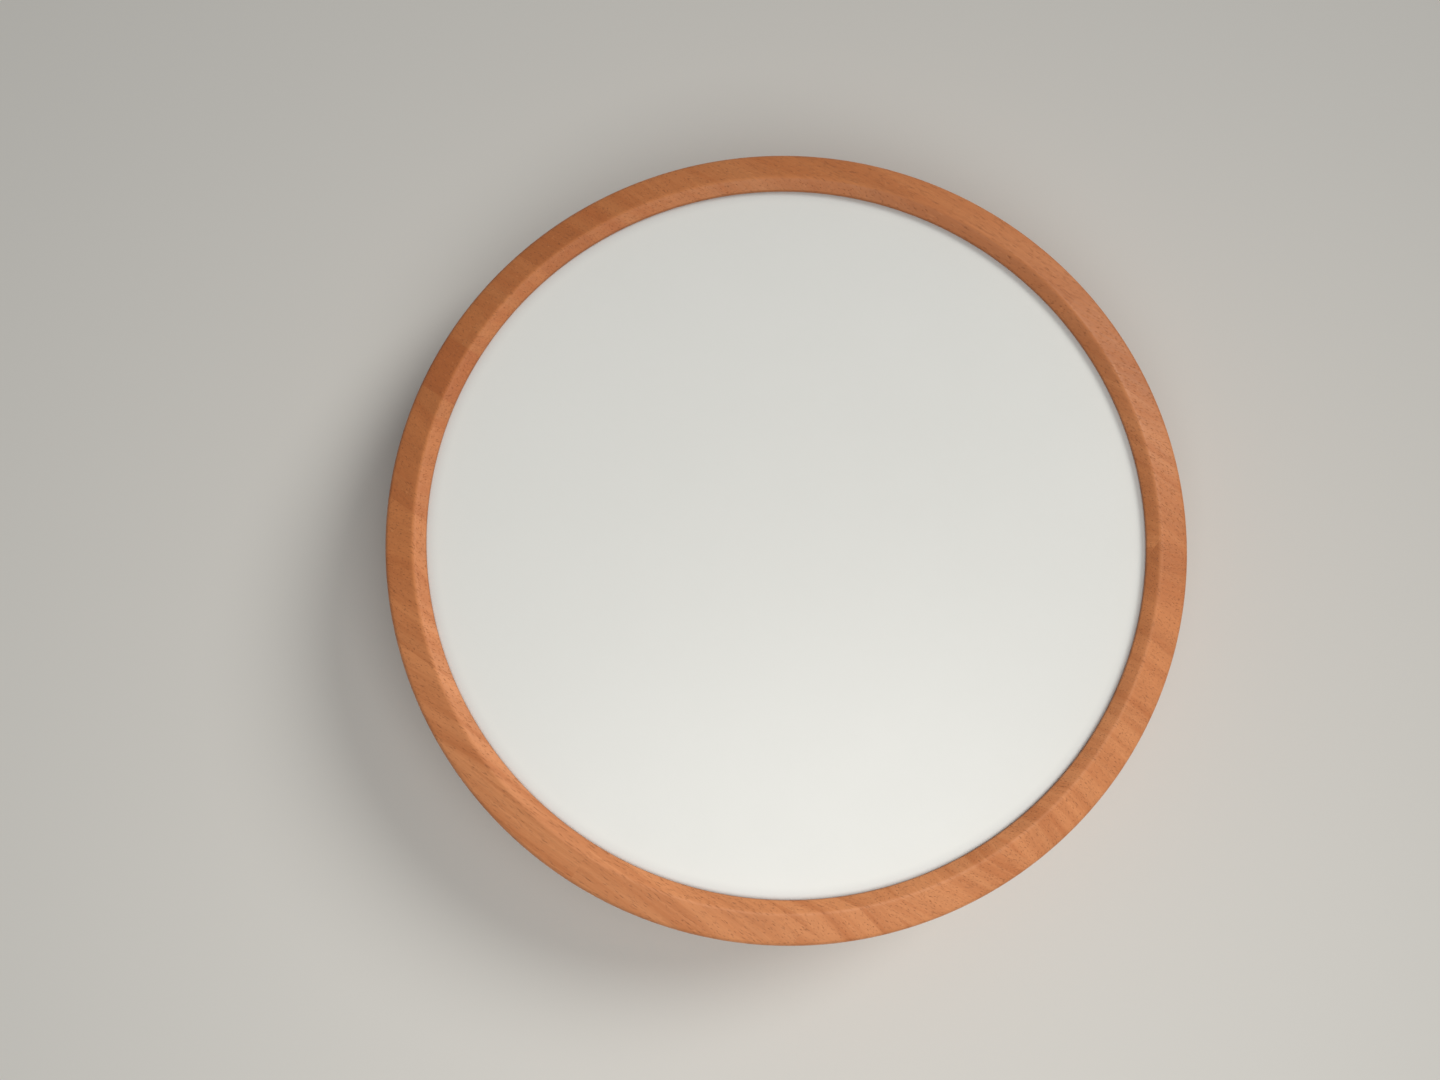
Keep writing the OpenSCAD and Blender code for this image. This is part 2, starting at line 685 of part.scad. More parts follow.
// A ring tag with a barrel that points at the terminal block.
module earth_tag() {
  barrel_r = wire_d / 2 + 0.5;
  color("gold") translate([earth_x, earth_y, plate_z + earth_washer_t]) difference() {
    union() {
      cylinder(r = earth_head_r, h = earth_tag_t);
      translate([-1.6, 0, 0]) cube([3.2, earth_head_r + 3, earth_tag_t]);
      translate([0, earth_head_r + 2, barrel_r]) rotate([-90, 0, 0]) cylinder(r = barrel_r, h = 5);
    }
    translate([0, 0, -1]) cylinder(r = earth_d / 2 + screw_gap, h = earth_tag_t + 2);
    translate([0, earth_head_r + 1, barrel_r]) rotate([-90, 0, 0]) cylinder(r = wire_d / 2 + lead_hole_gap, h = 7);
  }
}

module earth_screw() {
  clamped = earth_washer_t + earth_tag_t;
  color("silver") translate([earth_x, earth_y, plate_z + clamped]) screw(earth_d, clamped + pan_t + screw_tip, hr = earth_head_r, hh = earth_d * 0.6);
}

// Wires -----------------------------------------------------------------------------

// From a terminal's inner mouth round the driver's end and in through its wall.
module mains_wire(pole, hole) {
  out = driver_l / 2 + 4 + 3.5 * hole;
  mouth = block_y + block_w / 2;
  lane = mouth + 3.5 + 3 * (1 - hole);
  start = [pole_x(pole), block_y + sleeve_l / 2 - 6, sleeve_z];
  wire([start, start + [0, 6, 0], [pole_x(pole) - 3, lane - 0.6, sleeve_z],
    [pole_x(pole) - 9, lane, sleeve_z + 0.5], [-driver_l / 4, lane + 0.5, sleeve_z + 1],
    [-out + 5, lane + 1, sleeve_z + 1], [-out, lane + 5, lead_z - 1], [-out, lead_y[hole] - 4.5, lead_z],
    [-out + 2.5, lead_y[hole] - 0.6, lead_z], [-driver_l / 2 - 0.5, lead_y[hole], lead_z],
    [-driver_l / 2 + 6, lead_y[hole], lead_z]], wire_d);
}

module live_wire() { color("saddlebrown") mains_wire(0, 1); }
module neutral_wire() { color("steelblue") mains_wire(1, 0); }

module earth_wire() {
  start = [pole_x(poles - 1), block_y + sleeve_l / 2 - 6, sleeve_z];
  tag = [earth_x, earth_y + earth_head_r + 2, plate_z + earth_washer_t + wire_d / 2 + 0.5];
  color("yellowgreen") wire([start, start + [0, 6, 0], [start[0] + 2, block_y + block_w / 2 + 3, sleeve_z],
    [(start[0] + earth_x) / 2 + 1, block_y + block_w / 2 + 4.5, sleeve_z], [earth_x, block_y + block_w / 2, sleeve_z - 1],
    tag + [0, 6, 0], tag], wire_d);
}

// From the driver's far end to one side of the light board's connector.
module led_lead(hole, side) {
  p = plug_r - plug_l / 2;
  turn = function(r, y, z) [r * cos(plug_angle) - y * sin(plug_angle), r * sin(plug_angle) + y * cos(plug_angle), z];
  y = side * plug_pitch / 2;
  plug_z = board_z + plug_h / 2;
  wire([[driver_l / 2 - 6, lead_y[hole], lead_z], [driver_l / 2 + 0.5, lead_y[hole], lead_z],
    [driver_l / 2 + 4, lead_y[hole] - 0.5, lead_z - 0.5], turn(p - 7, y * 1.6, (lead_z + plug_z) / 2 + 1),
    turn(p - 2.5, y, plug_z + 0.3), turn(p + 0.2, y, plug_z), turn(p + 4, y, plug_z)], wire_d);
}

module led_lead_plus() { color("firebrick") led_lead(1, 1); }
module led_lead_minus() { color("black") led_lead(0, -1); }

wood_ring();
diffuser();
diffuser_clips();
diffuser_clip_screws();
bayonet_tabs();
bayonet_tab_screws();
base_pan();
foam_seal();
led_board();
led_chips();
led_lenses();
led_board_screws();
led_connector();
driver_case_base();
driver_case_lid();
driver_board();
driver_transformer();
driver_capacitors();
driver_choke();
driver_screws();
terminal_block();
terminal_sleeves();
terminal_screws();
terminal_block_screws();
cable_grommet();
cable_clamp();
cable_clamp_screws();
earth_screw();
earth_washer();
earth_tag();
live_wire();
neutral_wire();
earth_wire();
led_lead_plus();
led_lead_minus();
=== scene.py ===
import json
import math

import bmesh
import bpy
from mathutils import Euler, Matrix, Vector, noise


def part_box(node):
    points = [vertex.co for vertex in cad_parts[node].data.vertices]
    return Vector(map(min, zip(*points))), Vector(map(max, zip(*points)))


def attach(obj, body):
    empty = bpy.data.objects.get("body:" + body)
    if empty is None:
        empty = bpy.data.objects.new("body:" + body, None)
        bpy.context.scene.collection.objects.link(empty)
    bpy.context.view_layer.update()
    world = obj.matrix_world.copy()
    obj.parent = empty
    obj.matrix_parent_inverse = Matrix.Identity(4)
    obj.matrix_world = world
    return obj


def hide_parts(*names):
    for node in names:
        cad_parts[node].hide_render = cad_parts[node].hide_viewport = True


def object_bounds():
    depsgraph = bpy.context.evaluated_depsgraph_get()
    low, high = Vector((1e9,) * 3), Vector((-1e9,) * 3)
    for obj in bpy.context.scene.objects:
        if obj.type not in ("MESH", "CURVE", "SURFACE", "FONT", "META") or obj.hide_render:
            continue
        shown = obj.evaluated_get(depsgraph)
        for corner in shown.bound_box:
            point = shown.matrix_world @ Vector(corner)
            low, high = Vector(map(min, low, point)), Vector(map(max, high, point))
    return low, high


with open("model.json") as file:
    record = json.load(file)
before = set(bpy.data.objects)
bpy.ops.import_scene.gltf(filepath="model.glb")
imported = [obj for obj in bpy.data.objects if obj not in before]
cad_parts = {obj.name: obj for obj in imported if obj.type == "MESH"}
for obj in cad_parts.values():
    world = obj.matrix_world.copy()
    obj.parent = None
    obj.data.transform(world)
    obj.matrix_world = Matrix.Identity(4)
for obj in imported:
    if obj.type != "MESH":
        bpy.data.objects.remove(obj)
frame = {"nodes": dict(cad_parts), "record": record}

cad_low, cad_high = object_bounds()
MM = 0.001

# The lamp's own sizes, in metres, as the solids have them.
RING_LOW, RING_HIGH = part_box("wood_ring")
RING_R = (RING_HIGH.x - RING_LOW.x) / 2
RING_WALL = 11 * MM
RIDGE_IN = 11.5 * MM            # from the outer edge to the ridge
BEVEL_W = 4.3 * MM
BEVEL_DROP = 2.2 * MM
FACE_DROP = 3.6 * MM
LIP_DEPTH = 4 * MM
RIDGE_Z = 52 * MM
WALL_R = RING_R - RING_WALL
RIDGE_R = RING_R - RIDGE_IN
LIP_R = RIDGE_R - BEVEL_W
COVER_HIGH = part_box("diffuser")[1]
COVER_T = 2 * MM
PAN_T = 1 * MM
PLATE_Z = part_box("led_board")[0].z
BOARD_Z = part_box("led_board")[1].z
SLIDE_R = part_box("base_pan")[1].x - 3 * MM  # middle of the flange's track for the locking tongues
SCREW_D = 3 * MM
WIRE_R = 1.1 * MM
PLUG_ANGLE = math.radians(7)    # the connector on the light board
PLUG_L = 8 * MM

GRAIN_TURN = 34.0               # degrees that bring the grain onto X
BROAD = 20 * MM * MM            # faces above this area are broad
LEVEL = 0.9999                  # normals that point up or down by more than this are level
WELD = 0.002 * MM               # vertices of one surface closer than this are one vertex
SEAM = 0.0001 * MM              # the same, where a turned shape closes on itself


# ---- Materials

MATERIALS = {}                  # every material by its name


class Finish:
    """A material with one Principled shader, and short ways to add its texture nodes."""

    def __init__(self, name, colour, roughness, metallic=0.0, specular=0.5):
        self.material = MATERIALS[name] = bpy.data.materials.new(name)
        self.material.use_nodes = True
        self.nodes = self.material.node_tree.nodes
        self.links = self.material.node_tree.links
        self.shader = self.nodes["Principled BSDF"]
        self.set("Base Color", (*colour, 1.0))
        self.set("Roughness", roughness)
        self.set("Metallic", metallic)
        self.set("Specular IOR Level", specular)

    def set(self, socket, value):
        """Sets a shader socket, or links a texture to it."""
        if isinstance(value, bpy.types.NodeSocket):
            self.links.new(value, self.shader.inputs[socket])
        else:
            self.shader.inputs[socket].default_value = value

    def node(self, kind, values=(), **settings):
        """A new node. values are its inputs by name or number, as constants or sockets."""
        node = self.nodes.new(kind)
        for key, value in settings.items():
            setattr(node, key, value)
        for key, value in dict(values).items():
            if isinstance(value, bpy.types.NodeSocket):
                self.links.new(value, node.inputs[key])
            else:
                node.inputs[key].default_value = value
        return node

    def place(self, scale=(1, 1, 1), turn=0.0):
        """Object coordinates, turned about Z and then stretched."""
        where = self.node("ShaderNodeTexCoord").outputs["Object"]
        turned = self.node("ShaderNodeMapping", {"Vector": where, "Rotation": (0, 0, math.radians(turn))})
        return self.stretch(turned.outputs[0], scale)

    def stretch(self, where, scale):
        return self.node("ShaderNodeMapping", {"Vector": where, "Scale": scale}).outputs[0]

    def split(self, vector):
        """The X, Y and Z of a vector."""
        return self.node("ShaderNodeSeparateXYZ", {0: vector}).outputs

    def join(self, x, y, z):
        return self.node("ShaderNodeCombineXYZ", {0: x, 1: y, 2: z}).outputs[0]

    def noise(self, where, scale=1.0, detail=3.0, rough=0.5, warp=0.0):
        values = {"Vector": where, "Scale": scale, "Detail": detail, "Roughness": rough, "Distortion": warp}
        return self.node("ShaderNodeTexNoise", values).outputs["Fac"]

    def cloud(self, scale, detail=3.0):
        """Even noise all over the piece."""
        return self.noise(self.place(), scale, detail)

    def cells(self, scale):
        """Distance from the middle of scattered cells."""
        return self.node("ShaderNodeTexVoronoi", {"Vector": self.place(), "Scale": scale}).outputs["Distance"]

    def math(self, kind, a, b=0.0, clamp=False):
        return self.node("ShaderNodeMath", {0: a, 1: b}, operation=kind, use_clamp=clamp).outputs[0]

    def vector_math(self, kind, values):
        return self.node("ShaderNodeVectorMath", values, operation=kind).outputs[0]

    def times(self, a, b):
        return self.math("MULTIPLY", a, b)

    def remap(self, value, low, high, to_low=0.0, to_high=1.0):
        values = {"Value": value, "From Min": low, "From Max": high, "To Min": to_low, "To Max": to_high}
        return self.node("ShaderNodeMapRange", values).outputs["Result"]

    def ramp(self, value, *stops):
        """A colour ramp from (place, colour) stops."""
        node = self.node("ShaderNodeValToRGB", {"Fac": value})
        band = node.color_ramp.elements
        while len(band) < len(stops):
            band.new(0.5)
        for element, (place, colour) in zip(band, stops):
            element.position = place
            element.color = (*colour, 1.0)
        return node.outputs["Color"]

    def shade(self, colour, value):
        """colour times a grey value."""
        return self.vector_math("SCALE", {0: colour, "Scale": value})

    def mix(self, amount, first, second):
        """From the first colour to the second as the amount goes from 0 to 1."""
        node = self.node("ShaderNodeMix", {"Factor": amount}, data_type="RGBA")
        for socket, value in zip(node.inputs[6:8], (first, second)):
            if isinstance(value, bpy.types.NodeSocket):
                self.links.new(value, socket)
            else:
                socket.default_value = (*value, 1.0)
        return node.outputs[2]

    def radius(self):
        """Distance from the lamp's axis."""
        x, y, _ = self.split(self.place())
        return self.math("SQRT", self.math("ADD", self.times(x, x), self.times(y, y)))

    def band(self, value, middle, half):
        """1 at the middle, falling to 0 at each side."""
        away = self.math("ABSOLUTE", self.math("SUBTRACT", value, middle))
        return self.math("SUBTRACT", 1.0, self.math("DIVIDE", away, half), clamp=True)

    def lay(self):
        """The attribute that winds round a wire or a can: cosine and sine of the place round it."""
        return self.split(self.node("ShaderNodeAttribute", attribute_name="lay").outputs["Vector"])

    def roughen(self, texture, low, high):
        """Roughness from low to high as a noise goes through its middle values."""
        self.set("Roughness", self.remap(texture, 0.3, 0.7, low, high))

    def bump(self, height, depth):
        """Relief of that depth, in metres, for heights from 0 to 1."""
        under = self.shader.inputs["Normal"]
        values = {"Height": height, "Distance": depth, "Strength": 1.0}
        if under.is_linked:
            values["Normal"] = under.links[0].from_socket
        self.set("Normal", self.node("ShaderNodeBump", values).outputs["Normal"])


def oiled_wood():
    """Edge-glued boards of straight-grained reddish wood, oiled to a satin finish."""
    finish = Finish("oiled_wood", (0.62, 0.24, 0.09), 0.5, specular=0.35)
    board_w, board_l, first_edge = 21 * MM, 190 * MM, 10.3 * MM
    dark_red = (0.50, 0.150, 0.046)
    x, y, z = finish.split(finish.place(turn=GRAIN_TURN))
    row = finish.math("FLOOR", finish.math("DIVIDE", finish.math("ADD", y, first_edge), board_w))
    stagger = finish.node("ShaderNodeTexWhiteNoise", {"W": row}, noise_dimensions="1D").outputs["Value"]
    slid = finish.math("ADD", finish.math("DIVIDE", x, board_l), finish.times(stagger, 3.0))
    board = finish.join(finish.math("FLOOR", slid), row, 4.0)
    tone = finish.node("ShaderNodeTexWhiteNoise", {"Vector": board}, noise_dimensions="3D").outputs
    # each board has its own piece of the grain, and its growth rings lean their own way
    lean = finish.remap(finish.split(tone["Color"])[1], 0.0, 1.0, -0.9, 0.9)
    leaning = finish.math("ADD", y, finish.times(lean, z))
    jump = finish.shade(tone["Color"], 3.0)
    grain = finish.vector_math("ADD", {0: finish.join(x, leaning, z), 1: jump})

    def figure(scale, *settings):
        return finish.noise(finish.stretch(grain, scale), 1.0, *settings)

    streaks = figure((7, 210, 30), 4.0, 0.55, 0.3)
    bands = figure((2.2, 70, 12), 2.0, 0.5, 0.6)
    fibres = figure((70, 1500, 700), 3.0, 0.6)
    pores = figure((260, 3600, 3200), 1.0, 0.4)
    rays = figure((330, 900, 2200), 1.0, 0.5)
    colour = finish.ramp(tone["Value"], (0.0, (0.570, 0.192, 0.062)), (0.35, (0.635, 0.224, 0.074)),
                         (0.75, (0.665, 0.240, 0.082)), (1.0, (0.69, 0.258, 0.092)))
    # painted light: the boards are paler in the near half of the ring, a painted sheen, and darker in the far
    # half, painted shade
    across = finish.split(finish.place())[1]
    colour = finish.shade(colour, finish.remap(across, 0.0, 50 * MM, 1.0, 0.91))
    colour = finish.mix(finish.remap(across, -75 * MM, -15 * MM, 0.7, 0.0), colour, (0.725, 0.295, 0.121))
    # one board is redder than the rest on the left, and a dark streak crosses the ring above it
    left = finish.math("LESS_THAN", x, 0.0)
    for mark in (finish.math("COMPARE", row, -1.0), finish.band(y, 61 * MM, 6 * MM)):
        colour = finish.mix(finish.times(finish.times(mark, left), 0.8), colour, dark_red)
    colour = finish.mix(finish.remap(bands, 0.36, 0.66), colour, finish.shade(colour, 0.91))
    colour = finish.mix(finish.remap(streaks, 0.40, 0.66, 0.0, 0.7), colour, (0.49, 0.152, 0.046))
    colour = finish.shade(colour, finish.remap(fibres, 0.30, 0.70, 0.94, 1.05))
    colour = finish.mix(finish.remap(pores, 0.62, 0.74, 0.0, 0.5), colour, (0.23, 0.070, 0.024))
    colour = finish.mix(finish.remap(rays, 0.66, 0.78, 0.0, 0.30), colour, (0.77, 0.33, 0.130))
    # hands have polished the ridge, which is a little paler and smoother
    ridge = finish.band(finish.radius(), RIDGE_R, 1.6 * MM)
    worn = finish.times(ridge, finish.remap(finish.cloud(60.0), 0.35, 0.65, 0.3, 1.0))
    finish.set("Base Color", finish.mix(finish.times(worn, 0.22), colour, (0.74, 0.30, 0.120)))
    rough = finish.remap(finish.math("ADD", streaks, fibres), 0.7, 1.3, 0.47, 0.60)
    finish.set("Roughness", finish.math("SUBTRACT", rough, finish.times(worn, 0.10)))
    finish.bump(fibres, 0.06 * MM)
    finish.bump(finish.remap(pores, 0.62, 0.74, 1.0, 0.0), 0.10 * MM)


def opal_acrylic():
    """Opal sheet with a satin face, with painted shade greying it in the corner under the lip."""
    finish = Finish("opal_acrylic", (0.80, 0.80, 0.77), 0.36)
    unshaded_opal = finish.mix(finish.cloud(9.0, 2.0), (0.795, 0.797, 0.765), (0.812, 0.812, 0.783))
    # painted shade: the cover greys towards the lip, standing in for the shade in the corner under it
    corner = finish.math("POWER", finish.remap(finish.radius(), LIP_R - 4.5 * MM, LIP_R), 1.6)
    finish.set("Base Color", finish.mix(finish.times(corner, 0.75), unshaded_opal, (0.60, 0.615, 0.615)))
    finish.set("Subsurface Weight", 0.25)
    finish.set("Subsurface Radius", (4 * MM, 4 * MM, 4 * MM))
    finish.set("Subsurface Scale", 0.6)
    finish.roughen(finish.cloud(40.0), 0.34, 0.40)
    finish.bump(finish.cloud(2600.0, 1.0), 0.012 * MM)


def powder_coat():
    """White powder coat with a fine orange peel, scuffed where the tongues slide under the flange."""
    finish = Finish("white_powder_coat", (0.78, 0.78, 0.76), 0.42)
    peel = finish.cloud(900.0, 2.0)
    clouded = finish.mix(finish.cloud(14.0), (0.765, 0.765, 0.745), (0.80, 0.80, 0.78))
    track = finish.band(finish.radius(), SLIDE_R, 5 * MM)
    x, y, _ = finish.split(finish.place())
    around = finish.times(finish.math("ARCTAN2", y, x), 5.0)
    slide = finish.join(around, finish.times(finish.radius(), 1400.0), 0.0)
    scuffs = finish.remap(finish.noise(slide), 0.56, 0.68, 0.0, 0.35)
    finish.set("Base Color", finish.mix(finish.times(track, scuffs), clouded, (0.42, 0.42, 0.41)))
    finish.roughen(peel, 0.38, 0.50)
    finish.bump(peel, 0.05 * MM)


def steel(name, colour, roughness, spangle=160.0):
    """Zinc-plated steel with faint rolling marks and clouded plating."""
    finish = Finish(name, colour, roughness, metallic=1.0)
    marks = finish.noise(finish.place((40, 2400, 2400)), 1.0, 2.0)
    finish.set("Base Color", finish.mix(finish.cloud(spangle), tuple(0.86 * c for c in colour), colour))
    finish.roughen(marks, roughness - 0.07, roughness + 0.09)
    finish.bump(marks, 0.008 * MM)


def moulded(name, colour, roughness=0.38, grain=1800.0, depth=0.01 * MM, mottle=0.05):
    """Moulded plastic or rubber with a fine texture."""
    finish = Finish(name, colour, roughness)
    skin = finish.cloud(grain, 2.0)
    darker, paler = (tuple(c * tone for c in colour) for tone in (1 - mottle, 1 + mottle))
    finish.set("Base Color", finish.mix(finish.cloud(60.0, 2.0), darker, paler))
    finish.roughen(skin, roughness - 0.05, roughness + 0.06)
    finish.bump(skin, depth)


def cellular_foam():
    """Closed-cell foam with cut cells on its faces, painted darker in the cells' hollows as shade."""
    finish = Finish("black_foam", (0.035, 0.035, 0.036), 0.85, specular=0.3)
    height = finish.cells(1900.0)
    # painted shade: the colour darkens towards the bottom of each cut cell
    finish.set("Base Color", finish.ramp(height, (0.0, (0.018, 0.018, 0.019)), (0.6, (0.055, 0.055, 0.057))))
    finish.bump(height, 0.18 * MM)


def light_board():
    """White solder mask on aluminium, with the copper tracks showing faintly through."""
    finish = Finish("board_white", (0.80, 0.80, 0.78), 0.30)
    track = finish.math("PINGPONG", finish.radius(), 3.5 * MM)
    edge = finish.remap(track, 0.4 * MM, 0.7 * MM)
    finish.set("Base Color", finish.mix(edge, (0.70, 0.71, 0.69), (0.80, 0.80, 0.78)))
    finish.bump(edge, 0.04 * MM)
    finish.roughen(finish.cloud(300.0), 0.26, 0.36)


def clear_lens():
    """Clear moulded lens, seen through, with a faint moulding haze."""
    finish = Finish("clear_lens", (0.94, 0.95, 0.95), 0.12)
    haze = finish.cloud(220.0, 2.0)
    finish.set("Alpha", 0.5)
    finish.set("IOR", 1.49)
    finish.set("Base Color", finish.mix(haze, (0.90, 0.92, 0.93), (0.95, 0.955, 0.955)))
    finish.roughen(haze, 0.07, 0.16)


def circuit_board():
    """Green solder mask over paler tracks, with tinned holes."""
    finish = Finish("green_board", (0.02, 0.12, 0.045), 0.32)
    values = {"Vector": finish.place(), "Scale": 160.0, "Mortar Size": 0.05, "Mortar Smooth": 0.2,
              "Brick Width": 1.3, "Row Height": 0.26, "Color1": (0.022, 0.135, 0.052, 1),
              "Color2": (0.026, 0.150, 0.058, 1), "Mortar": (0.014, 0.095, 0.038, 1)}
    tracks = finish.node("ShaderNodeTexBrick", values).outputs
    tinned = finish.remap(finish.cells(330.0), 0.13, 0.17, 1.0, 0.0)
    finish.set("Base Color", finish.mix(tinned, tracks["Color"], (0.50, 0.50, 0.48)))
    finish.roughen(finish.cloud(400.0), 0.26, 0.38)
    finish.bump(tracks["Fac"], 0.03 * MM)


def earth_insulation():
    """Green insulation with a yellow stripe that winds along the wire."""
    finish = Finish("green_yellow_insulation", (0.05, 0.30, 0.06), 0.38)
    stripe = finish.remap(finish.lay()[0], -0.10, 0.02)
    finish.set("Base Color", finish.mix(stripe, (0.04, 0.28, 0.05), (0.78, 0.62, 0.04)))
    finish.roughen(finish.cloud(900.0), 0.33, 0.44)


def can_sleeve():
    """Dark shrink sleeve with the pale stripe that marks the minus side."""
    finish = Finish("capacitor_sleeve", (0.02, 0.03, 0.08), 0.22)
    stripe = finish.remap(finish.lay()[0], 0.90, 0.92)
    cloud = finish.cloud(300.0, 2.0)
    dark = finish.mix(cloud, (0.018, 0.026, 0.070), (0.026, 0.038, 0.095))
    finish.set("Base Color", finish.mix(stripe, dark, (0.55, 0.57, 0.60)))
    finish.roughen(cloud, 0.18, 0.28)


def wound_tape():
    """Yellow film tape, wound in overlapping turns."""
    finish = Finish("transformer_tape", (0.74, 0.50, 0.05), 0.2)
    laps = finish.math("PINGPONG", finish.split(finish.place())[2], 1.3 * MM)
    edge = finish.remap(laps, 0.0, 0.12 * MM)
    finish.set("Base Color", finish.mix(edge, (0.52, 0.32, 0.03), (0.76, 0.52, 0.06)))
    finish.roughen(finish.cloud(260.0), 0.15, 0.30)
    finish.bump(edge, 0.06 * MM)


for make in (oiled_wood, opal_acrylic, powder_coat, cellular_foam, light_board, clear_lens, circuit_board,
             wound_tape, can_sleeve, earth_insulation):
    make()
steel("zinc_steel", (0.66, 0.66, 0.63), 0.34)
steel("screw_steel", (0.70, 0.70, 0.70), 0.26, 400.0)
steel("brass", (0.72, 0.52, 0.22), 0.28)
moulded("led_phosphor", (0.82, 0.66, 0.16), 0.35)
moulded("white_nylon", (0.74, 0.74, 0.70), 0.40)
moulded("white_case", (0.70, 0.70, 0.68), 0.52, 700.0, 0.04 * MM, 0.02)
moulded("ferrite", (0.05, 0.05, 0.052), 0.65, 900.0, 0.04 * MM)
moulded("black_rubber", (0.022, 0.022, 0.023), 0.62, 1200.0, 0.03 * MM)
moulded("brown_insulation", (0.15, 0.055, 0.022))
moulded("blue_insulation", (0.03, 0.12, 0.42))
moulded("red_insulation", (0.48, 0.02, 0.02))
moulded("black_insulation", (0.018, 0.018, 0.019))

SLOT_OF = {part["node"]: part["material_slot"] for part in frame["record"]["subparts"]}
for name, piece in frame["nodes"].items():
    for place in piece.material_slots:
        place.material = MATERIALS[SLOT_OF[name]]


# ---- Ways to make a piece

BODY_OF = {node: body for body, nodes in frame["record"]["behaviour"]["bodies"].items() for node in nodes}


def placed(name, data):
    """A new object in the scene, at the origin."""
    obj = bpy.data.objects.new(name, data)
    bpy.context.scene.collection.objects.link(obj)
    return obj


def finish_piece(name, bm, node, sharp=30.0, slot=None):
    """Makes the mesh an object that stands for a node and rides with it."""
    slot = slot or SLOT_OF[node]
    mesh = bpy.data.meshes.new(name)
    bm.to_mesh(mesh)
    bm.free()
    mesh.shade_smooth()
    mesh.set_sharp_from_angle(angle=math.radians(sharp))
    mesh.materials.append(MATERIALS[slot])
    piece = placed(name, mesh)
    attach(piece, BODY_OF[node])
    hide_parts(node)
    return piece


def welded(node):
    """A copy of a node's mesh with its loose triangles joined."""
    bm = bmesh.new()
    bm.from_mesh(frame["nodes"][node].data)
    bmesh.ops.remove_doubles(bm, verts=bm.verts, dist=WELD)
    return bm


def edges_of(verts):
    """The edges that meet these vertices, each once."""
    return list(dict.fromkeys(edge for vert in verts for edge in vert.link_edges))


def bevel(bm, edges, width, segments=1, clamp=False):
    bmesh.ops.bevel(bm, geom=edges, offset=width, affect="EDGES", segments=segments, profile=0.5,
                    material=-1, clamp_overlap=clamp)


def bevel_corners(bm, width, clamp=False):
    """Eases every edge that turns by more than 50 degrees."""
    corners = [edge for edge in bm.edges if edge.calc_face_angle(0) > math.radians(50)]
    bevel(bm, corners, width, clamp=clamp)


def eased(name, node, width):
    """A piece with a node's own shape and its sharp edges eased. Its broad level faces are shaded flat."""
    bm = welded(node)
    bmesh.ops.dissolve_limit(bm, angle_limit=math.radians(0.5), verts=bm.verts, edges=bm.edges)
    bevel_corners(bm, width, clamp=True)
    piece = finish_piece(name, bm, node, sharp=25.0)
    for face in piece.data.polygons:
        if abs(face.normal.z) > LEVEL and face.area > BROAD:
            face.use_smooth = False


def solids(node):
    """Each separate solid of a node: its angle round the axis, and its box once turned to angle 0."""
    bm = welded(node)
    found = []
    for start in bm.verts:
        if start.tag:
            continue
        start.tag = True
        island, waiting = [], [start]
        while waiting:
            vert = waiting.pop()
            island.append(vert)
            for edge in vert.link_edges:
                other = edge.other_vert(vert)
                if not other.tag:
                    other.tag = True
                    waiting.append(other)
        faces = list(dict.fromkeys(face for vert in island for face in vert.link_faces))
        area = sum(face.calc_area() for face in faces)
        centre = sum((face.calc_center_median() * face.calc_area() for face in faces), Vector()) / area
        angle = math.atan2(centre.y, centre.x)
        turned = [Matrix.Rotation(-angle, 3, "Z") @ vert.co for vert in island]
        found.append((angle, Vector(map(min, zip(*turned))), Vector(map(max, zip(*turned)))))
    bm.free()
    return sorted(found, key=lambda solid: (round(solid[0], 4), solid[1].x))


def middle(node):
    """The middle of a node's box."""
    low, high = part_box(node)
    return (low + high) / 2


def polar(angle, z=0.0):
    """The point at distance 1 in that direction, and at that height."""
    return Vector((math.cos(angle), math.sin(angle), z))


def at(angle, x, y, z):
    """A place in the frame that is turned by an angle round the lamp's axis."""
    return Matrix.Rotation(angle, 4, "Z") @ Matrix.Translation((x, y, z))


def repeat(shape, places):
    """One mesh with a copy of the shape at each place."""
    source = bpy.data.meshes.new("shape")
    shape.to_mesh(source)
    shape.free()
    bm = bmesh.new()
    for place in places:
        first = len(bm.verts)
        bm.from_mesh(source)
        bm.verts.ensure_lookup_table()
        bmesh.ops.transform(bm, matrix=place, verts=bm.verts[first:])
    bpy.data.meshes.remove(source)
    return bm


def hoop(bm, radius, z, segments=24):
    """The edges of a level circle about the Z axis."""
    place = Matrix.Translation((0, 0, z))
    made = bmesh.ops.create_circle(bm, cap_ends=False, radius=radius, segments=segments, matrix=place)
    return edges_of(made["verts"])


def outline(bm, points, z):
    """The edges of a level closed outline."""
    verts = [bm.verts.new((x, y, z)) for x, y in points]
    return [bm.edges.new(pair) for pair in zip(verts, verts[1:] + verts[:1])]


def loft(bm, loops):
    """Joins closed loops in order and closes both ends."""
    for loop, following in zip(loops, loops[1:]):
        bmesh.ops.bridge_loops(bm, edges=loop + following)
    for loop in (loops[0], loops[-1]):
        bmesh.ops.holes_fill(bm, edges=loop, sides=0)
    bmesh.ops.recalc_face_normals(bm, faces=bm.faces)
    return bm


def rounded(length, width, ease, steps=2):
    """A rectangle's outline with round corners."""
    points = []
    for sx, sy, start in ((1, 1, 0), (-1, 1, 90), (-1, -1, 180), (1, -1, 270)):
        centre = (sx * (length / 2 - ease), sy * (width / 2 - ease))
        points += arc(centre, ease, start, start + 90, steps)
    return points


